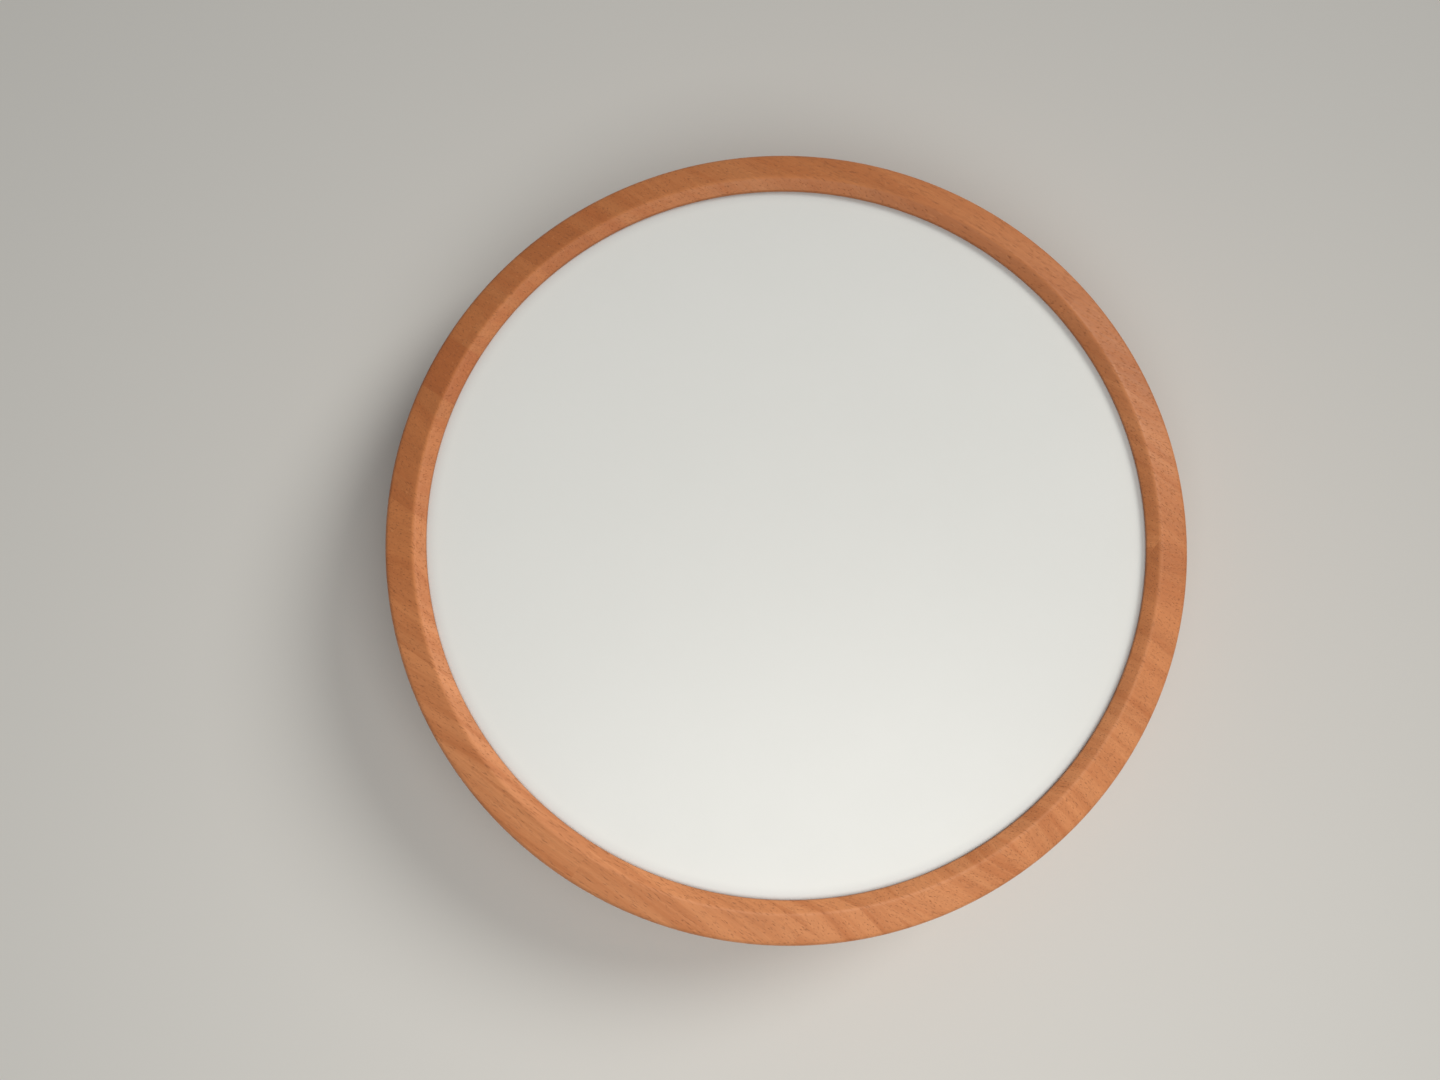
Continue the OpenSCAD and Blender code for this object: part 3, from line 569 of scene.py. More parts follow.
def cube(bm, centre, size):
    """The corners of a box."""
    place = Matrix.Translation(centre) @ Matrix.Diagonal((*size, 1))
    return bmesh.ops.create_cube(bm, size=1.0, matrix=place)["verts"]


def block(bm, low, high, ease, segments=2):
    """A box with eased edges."""
    low, high = Vector(low), Vector(high)
    bevel(bm, edges_of(cube(bm, (low + high) / 2, high - low)), ease, segments)


def section(bm, points, close=True):
    """An outline of (radius, height) points, standing on the X axis."""
    verts = [bm.verts.new((r, 0, z)) for r, z in points]
    following = verts[1:] + verts[:1] if close else verts[1:]
    return verts + [bm.edges.new(pair) for pair in zip(verts, following)]


def spin(bm, geom, angle, steps, merge=False, rise=0.0):
    """Turns an outline about the Z axis, with a rise at each step."""
    bmesh.ops.spin(bm, geom=geom, cent=(0, 0, 0), axis=(0, 0, 1), dvec=(0, 0, rise), angle=angle,
                   steps=steps, use_merge=merge)


def close_ends(bm):
    """Fills the open ends and turns every face outwards."""
    bmesh.ops.holes_fill(bm, edges=[edge for edge in bm.edges if edge.is_boundary], sides=0)
    bmesh.ops.recalc_face_normals(bm, faces=bm.faces)


def lathe(profile, segments, centre=(0, 0)):
    """Turns a closed profile of (radius, height) points about an upright axis through centre."""
    bm = bmesh.new()
    spin(bm, section(bm, profile), 2 * math.pi, segments, merge=True)
    bmesh.ops.remove_doubles(bm, verts=bm.verts, dist=SEAM)
    bmesh.ops.recalc_face_normals(bm, faces=bm.faces)
    bmesh.ops.translate(bm, verts=bm.verts, vec=(*centre, 0))
    return bm


def absorb(bm, shape):
    """Adds another shape to this one."""
    part = bpy.data.meshes.new("part")
    shape.to_mesh(part)
    shape.free()
    bm.from_mesh(part)
    bpy.data.meshes.remove(part)


def gathered(shapes):
    """Several shapes as one."""
    bm = bmesh.new()
    for shape in shapes:
        absorb(bm, shape)
    return bm


def drilled(bm, holes):
    """The shape with the holes' solids cut out of it."""
    pair = []
    for shape in (bm, holes):
        mesh = bpy.data.meshes.new("cutting")
        shape.to_mesh(mesh)
        shape.free()
        pair.append(placed("cutting", mesh))
    cut = pair[0].modifiers.new("cut", "BOOLEAN")
    cut.operation, cut.solver, cut.object = "DIFFERENCE", "EXACT", pair[1]
    graph = bpy.context.evaluated_depsgraph_get()
    result = bmesh.new()
    result.from_object(pair[0], graph)
    for obj in pair:
        bpy.data.meshes.remove(obj.data)
    return result


def screw_holes(screws, radius, segments):
    """Solids along the wood screws, from inside the ring's wall to just past their points."""
    holes = bmesh.new()
    for angle, low, high in solids(screws):
        near, far = WALL_R - 3 * MM, high.x + 0.2 * MM
        place = at(angle, (near + far) / 2, 0, (low.z + high.z) / 2) @ Matrix.Rotation(math.pi / 2, 4, "Y")
        bmesh.ops.create_cone(holes, cap_ends=True, segments=segments, radius1=radius, radius2=radius,
                              depth=far - near, matrix=place)
    return holes


def arc(centre, radius, start, end, steps):
    """Points on a round corner, angles in degrees."""
    angles = [math.radians(start + (end - start) * i / steps) for i in range(steps + 1)]
    return [(centre[0] + radius * math.cos(a), centre[1] + radius * math.sin(a)) for a in angles]


def spread(a, b, steps):
    """Points from a to b, without b."""
    return [(a[0] + (b[0] - a[0]) * i / steps, a[1] + (b[1] - a[1]) * i / steps) for i in range(steps)]


# ---- The wooden ring

def wooden_ring():
    """The hoop: sloping face, soft ridge, inner bevel, eased lip and eased back edges."""
    slope = math.atan(FACE_DROP / RIDGE_IN)
    bevel_slope = math.atan(BEVEL_DROP / BEVEL_W)
    ridge_round, front_round, back_round, ease = 2 * MM, 2.5 * MM, 1.2 * MM, 0.35 * MM
    edge_x = RING_R - front_round
    edge_z = RIDGE_Z - (front_round + (edge_x - RIDGE_R) * math.sin(slope)) / math.cos(slope)
    both = math.sin(bevel_slope + slope)
    top = (RIDGE_R + ridge_round * (math.cos(slope) - math.cos(bevel_slope)) / both,
           RIDGE_Z - ridge_round * (math.sin(bevel_slope) + math.sin(slope)) / both)
    lip_top, lip_under = RIDGE_Z - BEVEL_DROP, RIDGE_Z - LIP_DEPTH
    back_out = arc((RING_R - back_round, RING_LOW.z + back_round), back_round, 270, 360, 6)
    front_out = arc((edge_x, edge_z), front_round, 0, 90 - math.degrees(slope), 8)
    ridge = arc(top, ridge_round, 90 - math.degrees(slope), 90 + math.degrees(bevel_slope), 8)
    profile = arc((WALL_R + back_round, RING_LOW.z + back_round), back_round, 180, 270, 6)
    profile += back_out
    profile += spread(back_out[-1], front_out[0], 8)[1:]
    profile += front_out
    profile += spread(front_out[-1], ridge[0], 4)[1:]
    profile += ridge
    profile += arc((LIP_R + ease, lip_top - ease * 0.7), ease, 90 + math.degrees(bevel_slope), 180, 3)
    profile += arc((LIP_R + ease, lip_under + ease), ease, 180, 270, 3)
    profile += [(WALL_R, lip_under)]
    holes = gathered([screw_holes(screws, SCREW_D / 2, 20)
                      for screws in ("bayonet_tab_screws", "diffuser_clip_screws")])
    finish_piece("ring_wood", drilled(lathe(profile, 288), holes), "wood_ring", sharp=40.0)


def opal_cover():
    """The cover: a very shallow dome with an eased rim, of even thickness."""
    rim, edge_z = 0.5 * MM, RIDGE_Z - LIP_DEPTH
    dome_r = LIP_R - 1 * MM
    rise = COVER_HIGH.z - edge_z
    steps = 20
    top = [(dome_r * i / steps, edge_z + rise * (1 - (i / steps) ** 2)) for i in range(steps + 1)]
    under = [(r, z - COVER_T) for r, z in reversed(top)]
    edge = arc((COVER_HIGH.x - rim, edge_z - rim), rim, 90, 0, 3)
    edge += arc((COVER_HIGH.x - rim, edge_z - COVER_T + rim), rim, 0, -90, 3)
    finish_piece("cover_opal", lathe(top + edge + under, 240), "diffuser", sharp=50.0)


# ---- Seal and grommet

def foam_seal():
    """The foam ring: soft-edged, cut from strip and butted at one joint."""
    low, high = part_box("foam_seal")
    width, joint, ease = 4 * MM, 0.3 * MM, 0.7 * MM
    strip = rounded(width, high.z - low.z, ease, 4)
    radius, level = high.x - width / 2, (low.z + high.z) / 2
    bm = bmesh.new()
    spin(bm, section(bm, [(radius + x, level + z) for x, z in strip]), 2 * math.pi - joint / radius, 260)
    close_ends(bm)
    # the cut foam is never quite straight
    for vert in bm.verts:
        wander = 0.12 * MM * noise.noise(vert.co * 60)
        vert.co += Vector((vert.co.x, vert.co.y, 0)).normalized() * wander
    piece = finish_piece("seal_foam", bm, "foam_seal", sharp=60.0)


def cable_grommet():
    """The rubber grommet: two rims that grip the pan's hole, and a tapered neck."""
    low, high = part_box("cable_grommet")
    centre = (low + high) / 2
    rim_r = (high.x - low.x) / 2
    bore_r, neck_r = 4 * MM, 6.5 * MM
    back = PLATE_Z - PAN_T
    profile = arc((bore_r + 0.5 * MM, low.z + 0.5 * MM), 0.5 * MM, 180, 270, 4)
    profile += arc((rim_r - 0.9 * MM, low.z + 0.7 * MM), 0.7 * MM, 270, 360, 4)
    profile += [(rim_r - 0.3 * MM, back), (neck_r, back), (neck_r, PLATE_Z)]
    profile += arc((rim_r - 0.5 * MM, PLATE_Z + 0.5 * MM), 0.5 * MM, -90, 90, 6)
    profile += [(neck_r + 0.3 * MM, PLATE_Z + 1.3 * MM), (neck_r - 0.2 * MM, PLATE_Z + 1.9 * MM)]
    profile += arc((bore_r + 0.7 * MM, high.z - 0.5 * MM), 0.5 * MM, 20, 160, 6)
    profile += [(bore_r, high.z - 1.2 * MM)]
    finish_piece("grommet_rubber", lathe(profile, 64, centre.xy), "cable_grommet", sharp=40.0)


# ---- Screws

def cross_outline(reach, half):
    """A cross with arms of that reach and half width."""
    arm = [(reach, -half), (reach, half), (half, half)]
    turned = [arm, [(-y, x) for x, y in arm], [(-x, -y) for x, y in arm], [(y, -x) for x, y in arm]]
    return [point for part in turned for point in part]


def thread(bm, radius, pitch, length, point, steps=18):
    """A threaded shank down from z = 0, by turning its section with a fall of one pitch each turn."""
    coarse = pitch > 0.8 * MM
    root = radius - (0.45 if coarse else 0.6) * pitch
    shank = bmesh.new()
    teeth = []
    for turn in range(math.ceil(length / pitch) + 2):
        z = pitch * (1 - turn)
        teeth += [(root, z), (root, z - 0.3 * pitch), (radius, z - 0.6 * pitch), (radius, z - 0.7 * pitch)]
    spin(shank, section(shank, teeth, close=False), 2 * math.pi, steps, rise=-pitch / steps)
    bmesh.ops.remove_doubles(shank, verts=shank.verts, dist=WELD)
    for z, way in ((0.05 * MM, 1), (-length, -1)):
        bmesh.ops.bisect_plane(shank, geom=shank.verts[:] + shank.edges[:] + shank.faces[:], dist=SEAM,
                               plane_co=(0, 0, z), plane_no=(0, 0, way), clear_outer=True)
    close_ends(shank)
    # wood screws taper to a point, and machine screws have a short lead
    for vert in shank.verts:
        left = (vert.co.z + length) / point
        if left < 1:
            vert.co.xy *= max(left, 0.08) if coarse else 0.8 + 0.2 * left
    absorb(bm, shank)


def screw(diameter, pitch, head_r, head_h, length, point):
    """A domed cross-head screw, with its head standing on z = 0."""
    bm = bmesh.new()
    dome = ((0.95, 0.0), (1.0, 0.10), (1.0, 0.40), (0.95, 0.66), (0.83, 0.86), (0.66, 0.98))
    loops = [hoop(bm, head_r * across, head_h * up) for across, up in dome]
    for reach, half, up in ((0.56, 0.14, 1.0), (0.50, 0.12, 0.62), (0.30, 0.10, 0.34)):
        loops.append(outline(bm, cross_outline(head_r * reach, head_r * half), head_h * up))
    loft(bm, loops)
    thread(bm, diameter / 2, pitch, length, point)
    return bm


def upright_screws(name, node, diameter=SCREW_D, pitch=0.5 * MM):
    """Screws that are driven towards the back."""
    found = solids(node)
    low, high = found[0][1:]
    head_h = 0.6 * max(diameter, SCREW_D)
    shape = screw(diameter, pitch, (high.y - low.y) / 2, head_h, high.z - low.z - head_h, 0.6 * MM)
    places = [at(angle, (low.x + high.x) / 2, 0, high.z - head_h) for angle, low, high in found]
    finish_piece(name, repeat(shape, places), node, sharp=35.0)


def wood_screws(name, node):
    """Pointed screws that are driven out into the ring's inner wall."""
    found = solids(node)
    low, high = found[0][1:]
    head_h = 0.6 * SCREW_D
    shape = screw(SCREW_D, 1.1 * MM, (high.y - low.y) / 2, head_h, high.x - low.x - head_h, 2.6 * MM)
    lying = Matrix.Rotation(math.radians(-90), 4, "Y")
    places = [at(angle, low.x + head_h, (low.y + high.y) / 2, (low.z + high.z) / 2) @ lying
              for angle, low, high in found]
    finish_piece(name, repeat(shape, places), node, sharp=35.0)


# ---- Pressed clips and tabs

def bent_strips(name, node, screws, sheet, tongue_up):
    """Strips of sheet steel bent to an L: a leg on the ring's wall, and a tongue that reaches inwards."""
    inner_bend, corner, ease, clearance, near = 0.6 * MM, 1.6 * MM, 0.1 * MM, 0.2 * MM, 0.01 * MM
    outer_bend = inner_bend + sheet
    strips = []
    for angle, low, high in solids(node):
        half = math.asin(high.y / high.x)
        reach_r, wall_r, height = low.x / math.cos(half), high.x, high.z - low.z
        profile = [(reach_r, 0)] + arc((wall_r - outer_bend, outer_bend), outer_bend, -90, 0, 6)
        profile += [(wall_r, height), (wall_r - sheet, height)]
        profile += arc((wall_r - outer_bend, outer_bend), inner_bend, 0, -90, 5) + [(reach_r, sheet)]
        bm = bmesh.new()
        strip = section(bm, [(r, high.z - z if tongue_up else low.z + z) for r, z in profile])
        bmesh.ops.rotate(bm, verts=bm.verts, cent=(0, 0, 0), matrix=Matrix.Rotation(-half, 3, "Z"))
        spin(bm, strip, 2 * half, 24)
        close_ends(bm)
        # round the free corners, then ease every sharp edge
        side = math.sin(half) * 0.999
        far = high.z - height if tongue_up else low.z + height
        tips = []
        for edge in bm.edges:
            spots = [vert.co for vert in edge.verts]
            at_side = all(abs(co.y) > co.xy.length * side for co in spots)
            at_tip = all(co.xy.length < reach_r + near for co in spots)
            at_end = all(abs(co.z - far) < near for co in spots)
            if at_side and (at_tip or at_end):
                tips.append(edge)
        bevel(bm, tips, corner, 5)
        bevel_corners(bm, ease)
        bmesh.ops.rotate(bm, verts=bm.verts, cent=(0, 0, 0), matrix=Matrix.Rotation(angle, 3, "Z"))
        strips.append(bm)
    holes = screw_holes(screws, SCREW_D / 2 + clearance, 32)
    finish_piece(name, drilled(gathered(strips), holes), node, sharp=30.0)


# ---- Lights

def chips():
    """Surface-mounted lights: a white housing with a round cup, its yellow filling and its solder."""
    found = solids("led_chips")
    low, high = found[0][1:]
    size = high - low
    places = [at(angle, (a.x + b.x) / 2, 0, BOARD_Z) for angle, a, b in found]
    housing = bmesh.new()
    walls = [outline(housing, rounded(size.x - inset, size.y - inset, 0.25 * MM), z)
             for inset, z in ((0.1 * MM, 0), (0, 0.1 * MM), (0, size.z - 0.12 * MM), (0.16 * MM, size.z))]
    cup = [hoop(housing, 1.12 * MM, size.z, 12), hoop(housing, 0.92 * MM, size.z - 0.35 * MM, 12)]
    finish_piece("chip_housings", repeat(loft(housing, walls + cup), places), "led_chips", slot="white_nylon")
    filling = bmesh.new()
    domes = [hoop(filling, r * MM, size.z - drop * MM, 12)
             for r, drop in ((0.95, 0.34), (1.04, 0.14), (0.6, 0.05))]
    finish_piece("chip_phosphor", repeat(loft(filling, domes), places), "led_chips", sharp=50.0)
    solder = bmesh.new()
    for side in (-1, 1):
        centre = (side * (size.x / 2 + 0.28 * MM), 0, 0.17 * MM)
        for vert in cube(solder, centre, (0.62 * MM, 2 * MM, 0.34 * MM)):
            if vert.co.z > 0.2 * MM and abs(vert.co.x) > size.x / 2 + 0.2 * MM:
                vert.co.z = 0.09 * MM
    finish_piece("chip_solder", repeat(solder, places), "led_chips", slot="screw_steel")


def lenses():
    """Wide-angle lenses: a dome with a dimple on top, a foot, and a round pocket over the chip."""
    found = solids("led_lenses")
    low, high = found[0][1:]
    radius, height = (high.y - low.y) / 2, high.z - low.z
    foot_h, dome_r, pocket_r, pocket_h = 1 * MM, radius - 1 * MM, 2.6 * MM, 1.65 * MM
    profile = []
    for degrees in (*range(4, 90, 10), 90):
        angle = math.radians(degrees)
        r = dome_r * math.cos(angle)
        dimple = 0.7 * MM * math.exp(-(r / (1.3 * MM)) ** 2)
        profile.append((r, foot_h + (height - foot_h) * math.sin(angle) - dimple))
    profile += [(r, z * pocket_h / pocket_r) for r, z in arc((0, 0), pocket_r, 90, 0, 3)]
    profile += [(radius - 0.15 * MM, 0), (radius, 0.15 * MM)]
    profile += [(radius, foot_h - 0.2 * MM), (radius - 0.2 * MM, foot_h)]
    places = [at(angle, (a.x + b.x) / 2, 0, a.z) for angle, a, b in found]
    finish_piece("lens_domes", repeat(lathe(profile, 26), places), "led_lenses", sharp=40.0)


# ---- Driver

def transformer():
    """Two ferrite halves round a taped winding, on a bobbin with rails and pins."""
    low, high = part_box("driver_transformer")
    centre, size = (low + high) / 2, high - low
    core_w, lap = 8 * MM, 0.12 * MM
    core, tape, bobbin, pins = bmesh.new(), bmesh.new(), bmesh.new(), bmesh.new()

    def slab(shape, across, along, up, ease, segments=2):
        """A block between two distances each way, from the middle and from the board."""
        corners = [(centre.x + x, centre.y + y, low.z + z) for x, y, z in zip(across, along, up)]
        block(shape, *corners, ease, segments)

    for side in (-1, 1):
        slab(core, sorted((side * lap / 2, side * size.x / 2)), (-core_w, core_w), (1 * MM, size.z), 0.5 * MM)
        slab(tape, (-6 * MM, 6 * MM), sorted((side * (core_w - 1 * MM), side * size.y / 2)),
             (2 * MM, 10.5 * MM), 1.2 * MM, 4)
        rail = sorted((side * (core_w - 2.5 * MM), side * (size.y / 2 - 0.2 * MM)))
        slab(bobbin, (-8 * MM, 8 * MM), rail, (0, 1.6 * MM), 0.25 * MM)
        y, half = side * (size.y / 2 - 0.8 * MM), 0.35 * MM
        for x in (-6 * MM, -2 * MM, 2 * MM, 6 * MM):
            slab(pins, (x - half, x + half), (y - half, y + half), (-0.6 * MM, 2.6 * MM), 0.1 * MM, 1)
    # one lap of tape round both halves of the core
    slab(tape, (-size.x / 2, size.x / 2), (-core_w - lap, core_w + lap), (4 * MM, 8 * MM), 0.1 * MM, 1)
    node = "driver_transformer"
    finish_piece("transformer_core", core, node, slot="ferrite")
    finish_piece("transformer_winding", tape, node, sharp=40.0)
    finish_piece("transformer_bobbin", bobbin, node, slot="white_nylon")
    finish_piece("transformer_pins", pins, node, slot="screw_steel")


def wind(bm, centre):
    """Gives each vertex its place round an upright centre, for the stripe."""
    lay = bm.verts.layers.float_vector.new("lay")
    for vert in bm.verts:
        vert[lay] = polar(math.atan2(vert.co.y - centre.y, vert.co.x - centre.x))


def capacitors():
    """Sleeved cans with a crimped neck, and a bare end with a cross-shaped vent."""
    sleeves, ends = [], []
    for angle, low, high in solids("driver_capacitors"):
        centre = Matrix.Rotation(angle, 3, "Z") @ ((low + high) / 2)
        radius = (high.y - low.y) / 2
        ease = 0.6 * MM
        profile = arc((radius - 0.3 * MM, low.z + 0.3 * MM), 0.3 * MM, -90, 0, 3)
        profile += [(radius - neck * MM, low.z + up * MM) for neck, up in ((0, 0.8), (0.35, 1.2), (0, 1.6))]
        profile += arc((radius - ease, high.z - ease), ease, 0, 90, 5)
        profile += [(radius - 1.2 * MM, high.z), (radius - 1.3 * MM, high.z - 0.15 * MM)]
        profile += [(0, high.z - 0.15 * MM), (0, low.z)]
        sleeve = lathe(profile, 36, centre.xy)
        wind(sleeve, centre)
        sleeves.append(sleeve)
        end = bmesh.new()
        top = high.z - 0.05 * MM
        loops = [hoop(end, radius - 1.32 * MM, z, 24) for z in (high.z - 0.3 * MM, top)]
        for reach, z in ((0.5, top), (0.47, top - 0.12 * MM)):
            loops.append(outline(end, cross_outline(reach * radius, 0.05 * radius), z))
        loft(end, loops)
        bmesh.ops.translate(end, verts=end.verts, vec=(centre.x, centre.y, 0))
        ends.append(end)
    finish_piece("capacitor_sleeves", gathered(sleeves), "driver_capacitors", sharp=35.0)
    finish_piece("capacitor_ends", gathered(ends), "driver_capacitors", slot="zinc_steel")


def choke():
    """A ferrite drum with its wire wound in two layers."""
    low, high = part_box("driver_choke")
    centre, radius = middle("driver_choke"), (high.x - low.x) / 2
    flange, waist, wire, ease = 1.5 * MM, 3.3 * MM, 0.5 * MM, 0.25 * MM
    drum = [(0, low.z)] + arc((radius - ease, low.z + ease), ease, -90, 0, 3)
    drum += arc((radius - ease, low.z + flange - ease), ease, 0, 90, 3)
    drum += [(waist, low.z + flange), (waist, high.z - flange)]
    drum += arc((radius - ease, high.z - flange + ease), ease, -90, 0, 3)
    drum += arc((radius - ease, high.z - ease), ease, 0, 90, 3) + [(0, high.z)]
    finish_piece("choke_drum", lathe(drum, 40, centre.xy), "driver_choke", sharp=40.0)
    turns = int((high.z - low.z - 2 * flange) / wire)
    wound = [(waist - 0.2 * MM, high.z - flange), (waist - 0.2 * MM, low.z + flange)]
    for turn in range(turns):
        wound += arc((waist + 0.75 * MM, low.z + flange + wire * (turn + 0.5)), wire / 2, -80, 80, 4)
    finish_piece("choke_winding", lathe(wound, 36, centre.xy), "driver_choke", sharp=60.0, slot="brass")


# ---- Wires

def smooth_route(points, steps=8):
    """A smooth curve through the points."""
    points = [Vector(point) for point in points]
    padded = [points[0]] + points + [points[-1]]
    route = []
    for a, b, c, d in zip(padded, padded[1:], padded[2:], padded[3:]):
        for step in range(steps):
            t = step / steps
            curve = (2 * a - 5 * b + 4 * c - d) * t ** 2 + (3 * b - a - 3 * c + d) * t ** 3
            route.append(0.5 * (2 * b + (c - a) * t + curve))
    return route + [points[-1]]


def wire(name, node, points, sides=14):
    """An insulated wire along its route, with its ends trimmed square."""
    route = smooth_route(points)
    bm = bmesh.new()
    lay = bm.verts.layers.float_vector.new("lay")
    along, side, loops = 0.0, Vector((0, 0, 1)), []
    for place, before, after in zip(route, route[:1] + route, route[1:] + route[-1:]):
        ahead = (after - before).normalized()
        side = (side - ahead * side.dot(ahead)).normalized()
        along += (place - before).length
        turned = Matrix((side, ahead.cross(side), ahead)).transposed().to_4x4()
        made = bmesh.ops.create_circle(bm, cap_ends=False, radius=WIRE_R, segments=sides,
                                       matrix=Matrix.Translation(place) @ turned)
        for count, vert in enumerate(made["verts"]):
            vert[lay] = polar(2 * math.pi * count / sides + along / (6 * MM), along)
        loops.append(edges_of(made["verts"]))
    loft(bm, loops)
    finish_piece(name, bm, node, sharp=50.0)
    strands(name, node, route)


def strands(name, node, route):
    """The copper that shows at a wire's two ends: a bundle of fine strands."""
    bm = bmesh.new()
    for end, inner in ((route[0], route[1]), (route[-1], route[-2])):
        out = (end - inner).normalized()
        turn = out.to_track_quat("Z", "Y").to_matrix().to_4x4()
        for off in [polar(math.radians(60 * count)) * 0.46 * MM for count in range(6)] + [Vector()]:
            place = Matrix.Translation(end) @ turn @ Matrix.Translation(off)
            bmesh.ops.create_cone(bm, cap_ends=True, segments=8, radius1=0.23 * MM, radius2=0.21 * MM,
                                  depth=2.4 * MM, matrix=place)
    finish_piece(name + "_strands", bm, node, slot="brass")


def wires():
    """The mains wires round the driver's end, the earth wire to its tag, and the two leads to the board."""
    block_low, block_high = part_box("terminal_block")
    pole_pitch = (block_high.x - block_low.x) / 3
    pole_x = [block_low.x + pole_pitch * (k + 0.5) for k in range(3)]
    start_y, mouth_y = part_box("terminal_sleeves")[1].y - 6 * MM, block_high.y
    sleeve_z = middle("terminal_sleeves").z
    end_x, case_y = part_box("driver_case_lid")[1].x, middle("driver_case_lid").y
    lead_y = (case_y - 9 * MM, case_y - 4 * MM)
    lead_z = (PLATE_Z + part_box("driver_case_base")[1].z) / 2 + 4 * MM

    def mains(pole, hole):
        out, lane = end_x + (4 + 3.5 * hole) * MM, mouth_y + (3.5 + 3 * (1 - hole)) * MM
        x, y = pole_x[pole], lead_y[hole]
        return [(x, start_y, sleeve_z), (x, start_y + 6 * MM, sleeve_z),
                (x - 3 * MM, lane - 0.6 * MM, sleeve_z), (x - 9 * MM, lane, sleeve_z + 0.5 * MM),
                (-end_x / 2, lane + 0.5 * MM, sleeve_z + 1 * MM),
                (5 * MM - out, lane + 1 * MM, sleeve_z + 1 * MM), (-out, lane + 5 * MM, lead_z - 1 * MM),
                (-out, y - 4.5 * MM, lead_z), (2.5 * MM - out, y - 0.6 * MM, lead_z),
                (-end_x - 0.5 * MM, y, lead_z), (6 * MM - end_x, y, lead_z)]

    wire("wire_live", "live_wire", mains(0, 1))
    wire("wire_neutral", "neutral_wire", mains(1, 0))
    washer, washer_high = middle("earth_washer"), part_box("earth_washer")[1]
    tag_y = washer.y + washer_high.x - washer.x + 2 * MM
    tag_z = washer_high.z + WIRE_R + 0.5 * MM
    x = pole_x[2]
    wire("wire_earth", "earth_wire", [
        (x, start_y, sleeve_z), (x, start_y + 6 * MM, sleeve_z), (x + 2 * MM, mouth_y + 3 * MM, sleeve_z),
        ((x + washer.x) / 2 + 1 * MM, mouth_y + 4.5 * MM, sleeve_z), (washer.x, mouth_y, sleeve_z - 1 * MM),
        (washer.x, tag_y + 6 * MM, tag_z), (washer.x, tag_y, tag_z)])
    plug = middle("led_connector")
    turned = Matrix.Rotation(PLUG_ANGLE, 3, "Z")
    face, pitch = plug.xy.length - PLUG_L / 2, 4.5 * MM

    def lead(hole, side):
        y = side * pitch / 2
        near = [(end_x - 6 * MM, lead_y[hole], lead_z), (end_x + 0.5 * MM, lead_y[hole], lead_z),
                (end_x + 4 * MM, lead_y[hole] - 0.5 * MM, lead_z - 0.5 * MM)]
        far = [(face - 7 * MM, y * 1.6, (lead_z + plug.z) / 2 + 1 * MM),
               (face - 2.5 * MM, y, plug.z + 0.3 * MM),
               (face + 0.2 * MM, y, plug.z), (face + 4 * MM, y, plug.z)]
        return near + [turned @ Vector(point) for point in far]

    wire("lead_plus", "led_lead_plus", lead(1, 1))
    wire("lead_minus", "led_lead_minus", lead(0, -1))


wooden_ring()
opal_cover()
foam_seal()
cable_grommet()
wood_screws("tab_screws", "bayonet_tab_screws")
wood_screws("clip_screws", "diffuser_clip_screws")
upright_screws("board_screws", "led_board_screws")
upright_screws("case_screws", "driver_screws")
upright_screws("block_screws", "terminal_block_screws")
upright_screws("clamp_screws", "cable_clamp_screws")
upright_screws("wire_screws", "terminal_screws", 2.4 * MM, 0.45 * MM)
upright_screws("earth_bolt", "earth_screw", 4 * MM, 0.7 * MM)
bent_strips("tab_pressings", "bayonet_tabs", "bayonet_tab_screws", 1.2 * MM, tongue_up=False)
bent_strips("clip_pressings", "diffuser_clips", "diffuser_clip_screws", 1 * MM, tongue_up=True)
chips()
lenses()
transformer()
capacitors()
choke()
wires()
eased("pan_pressing", "base_pan", 0.15 * MM)
eased("board_panel", "led_board", 0.1 * MM)
eased("plug_housing", "led_connector", 0.25 * MM)
eased("case_tub", "driver_case_base", 0.3 * MM)
eased("case_cap", "driver_case_lid", 0.4 * MM)
eased("driver_panel", "driver_board", 0.15 * MM)
eased("block_housing", "terminal_block", 0.3 * MM)
eased("block_sleeves", "terminal_sleeves", 0.12 * MM)
eased("clamp_saddle", "cable_clamp", 0.35 * MM)
eased("washer_plain", "earth_washer", 0.15 * MM)
eased("tag_ring", "earth_tag", 0.1 * MM)


# ---- Camera, floor and light

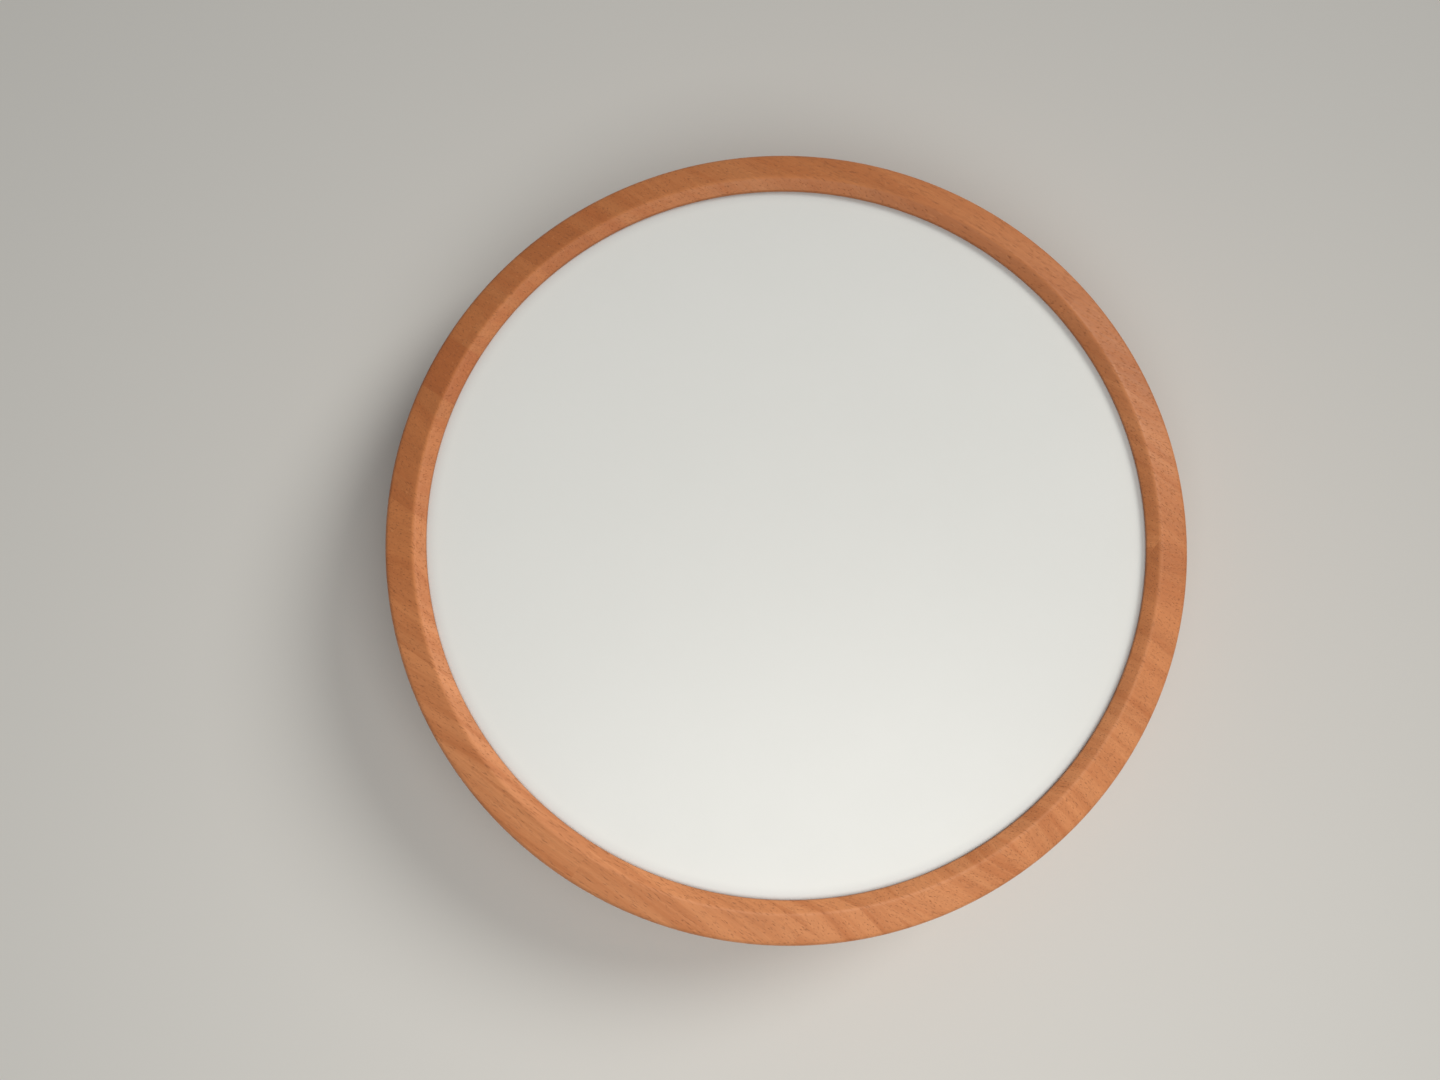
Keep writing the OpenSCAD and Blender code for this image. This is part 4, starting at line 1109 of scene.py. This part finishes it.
def camera():
    data = bpy.data.cameras.new("camera")
    data.sensor_width, data.lens = 36.0, 28.25
    data.clip_start, data.clip_end = 0.01, 50.0
    obj = placed("camera", data)
    obj.location = (-0.0212, -0.0751, 0.4643)
    obj.rotation_euler = Euler((math.radians(9.585), math.radians(0.430), 0.0), "XYZ")
    bpy.context.scene.camera = obj


def light(name, kind, azimuth, elevation, distance, **settings):
    """A light that shines on the lamp from that direction; azimuth from +X towards +Y."""
    data = bpy.data.lights.new(name, kind)
    data.color = (1.0, 0.985, 0.95)
    for key, value in settings.items():
        setattr(data, key, value)
    obj = placed(name, data)
    up = math.radians(elevation)
    obj.location = distance * (math.cos(up) * polar(math.radians(azimuth), math.tan(up)))
    obj.rotation_euler = (-obj.location).to_track_quat("-Z", "Y").to_euler()


def floor():
    bm = bmesh.new()
    bmesh.ops.create_grid(bm, x_segments=1, y_segments=1, size=4.0)
    mesh = bpy.data.meshes.new("floor")
    bm.to_mesh(mesh)
    bm.free()
    mesh.materials.append(Finish("floor_pale", (0.67, 0.655, 0.62), 0.8).material)
    obj = placed("floor", mesh)
    obj.location.z = cad_low.z - 0.2 * MM


def room(fill, seen):
    """Soft light from all round, with a paler backdrop than the light it gives."""
    world = bpy.data.worlds.new("room")
    world.use_nodes = True
    nodes, links = world.node_tree.nodes, world.node_tree.links
    back = nodes["Background"]
    back.inputs["Color"].default_value = (0.93, 0.96, 1.0, 1)
    path = nodes.new("ShaderNodeLightPath")
    strength = nodes.new("ShaderNodeMapRange")
    strength.inputs["To Min"].default_value = fill
    strength.inputs["To Max"].default_value = seen
    links.new(path.outputs["Is Camera Ray"], strength.inputs["Value"])
    links.new(strength.outputs["Result"], back.inputs["Strength"])
    bpy.context.scene.world = world


camera()
floor()
light("near", "AREA", -78, 66, 0.66, shape="SQUARE", size=0.5, energy=2.30)
light("window", "SUN", 30, 38, 3.0, angle=math.radians(25), energy=1.55)
room(0.15, 0.60)
bpy.context.scene.view_settings.view_transform = "Standard"
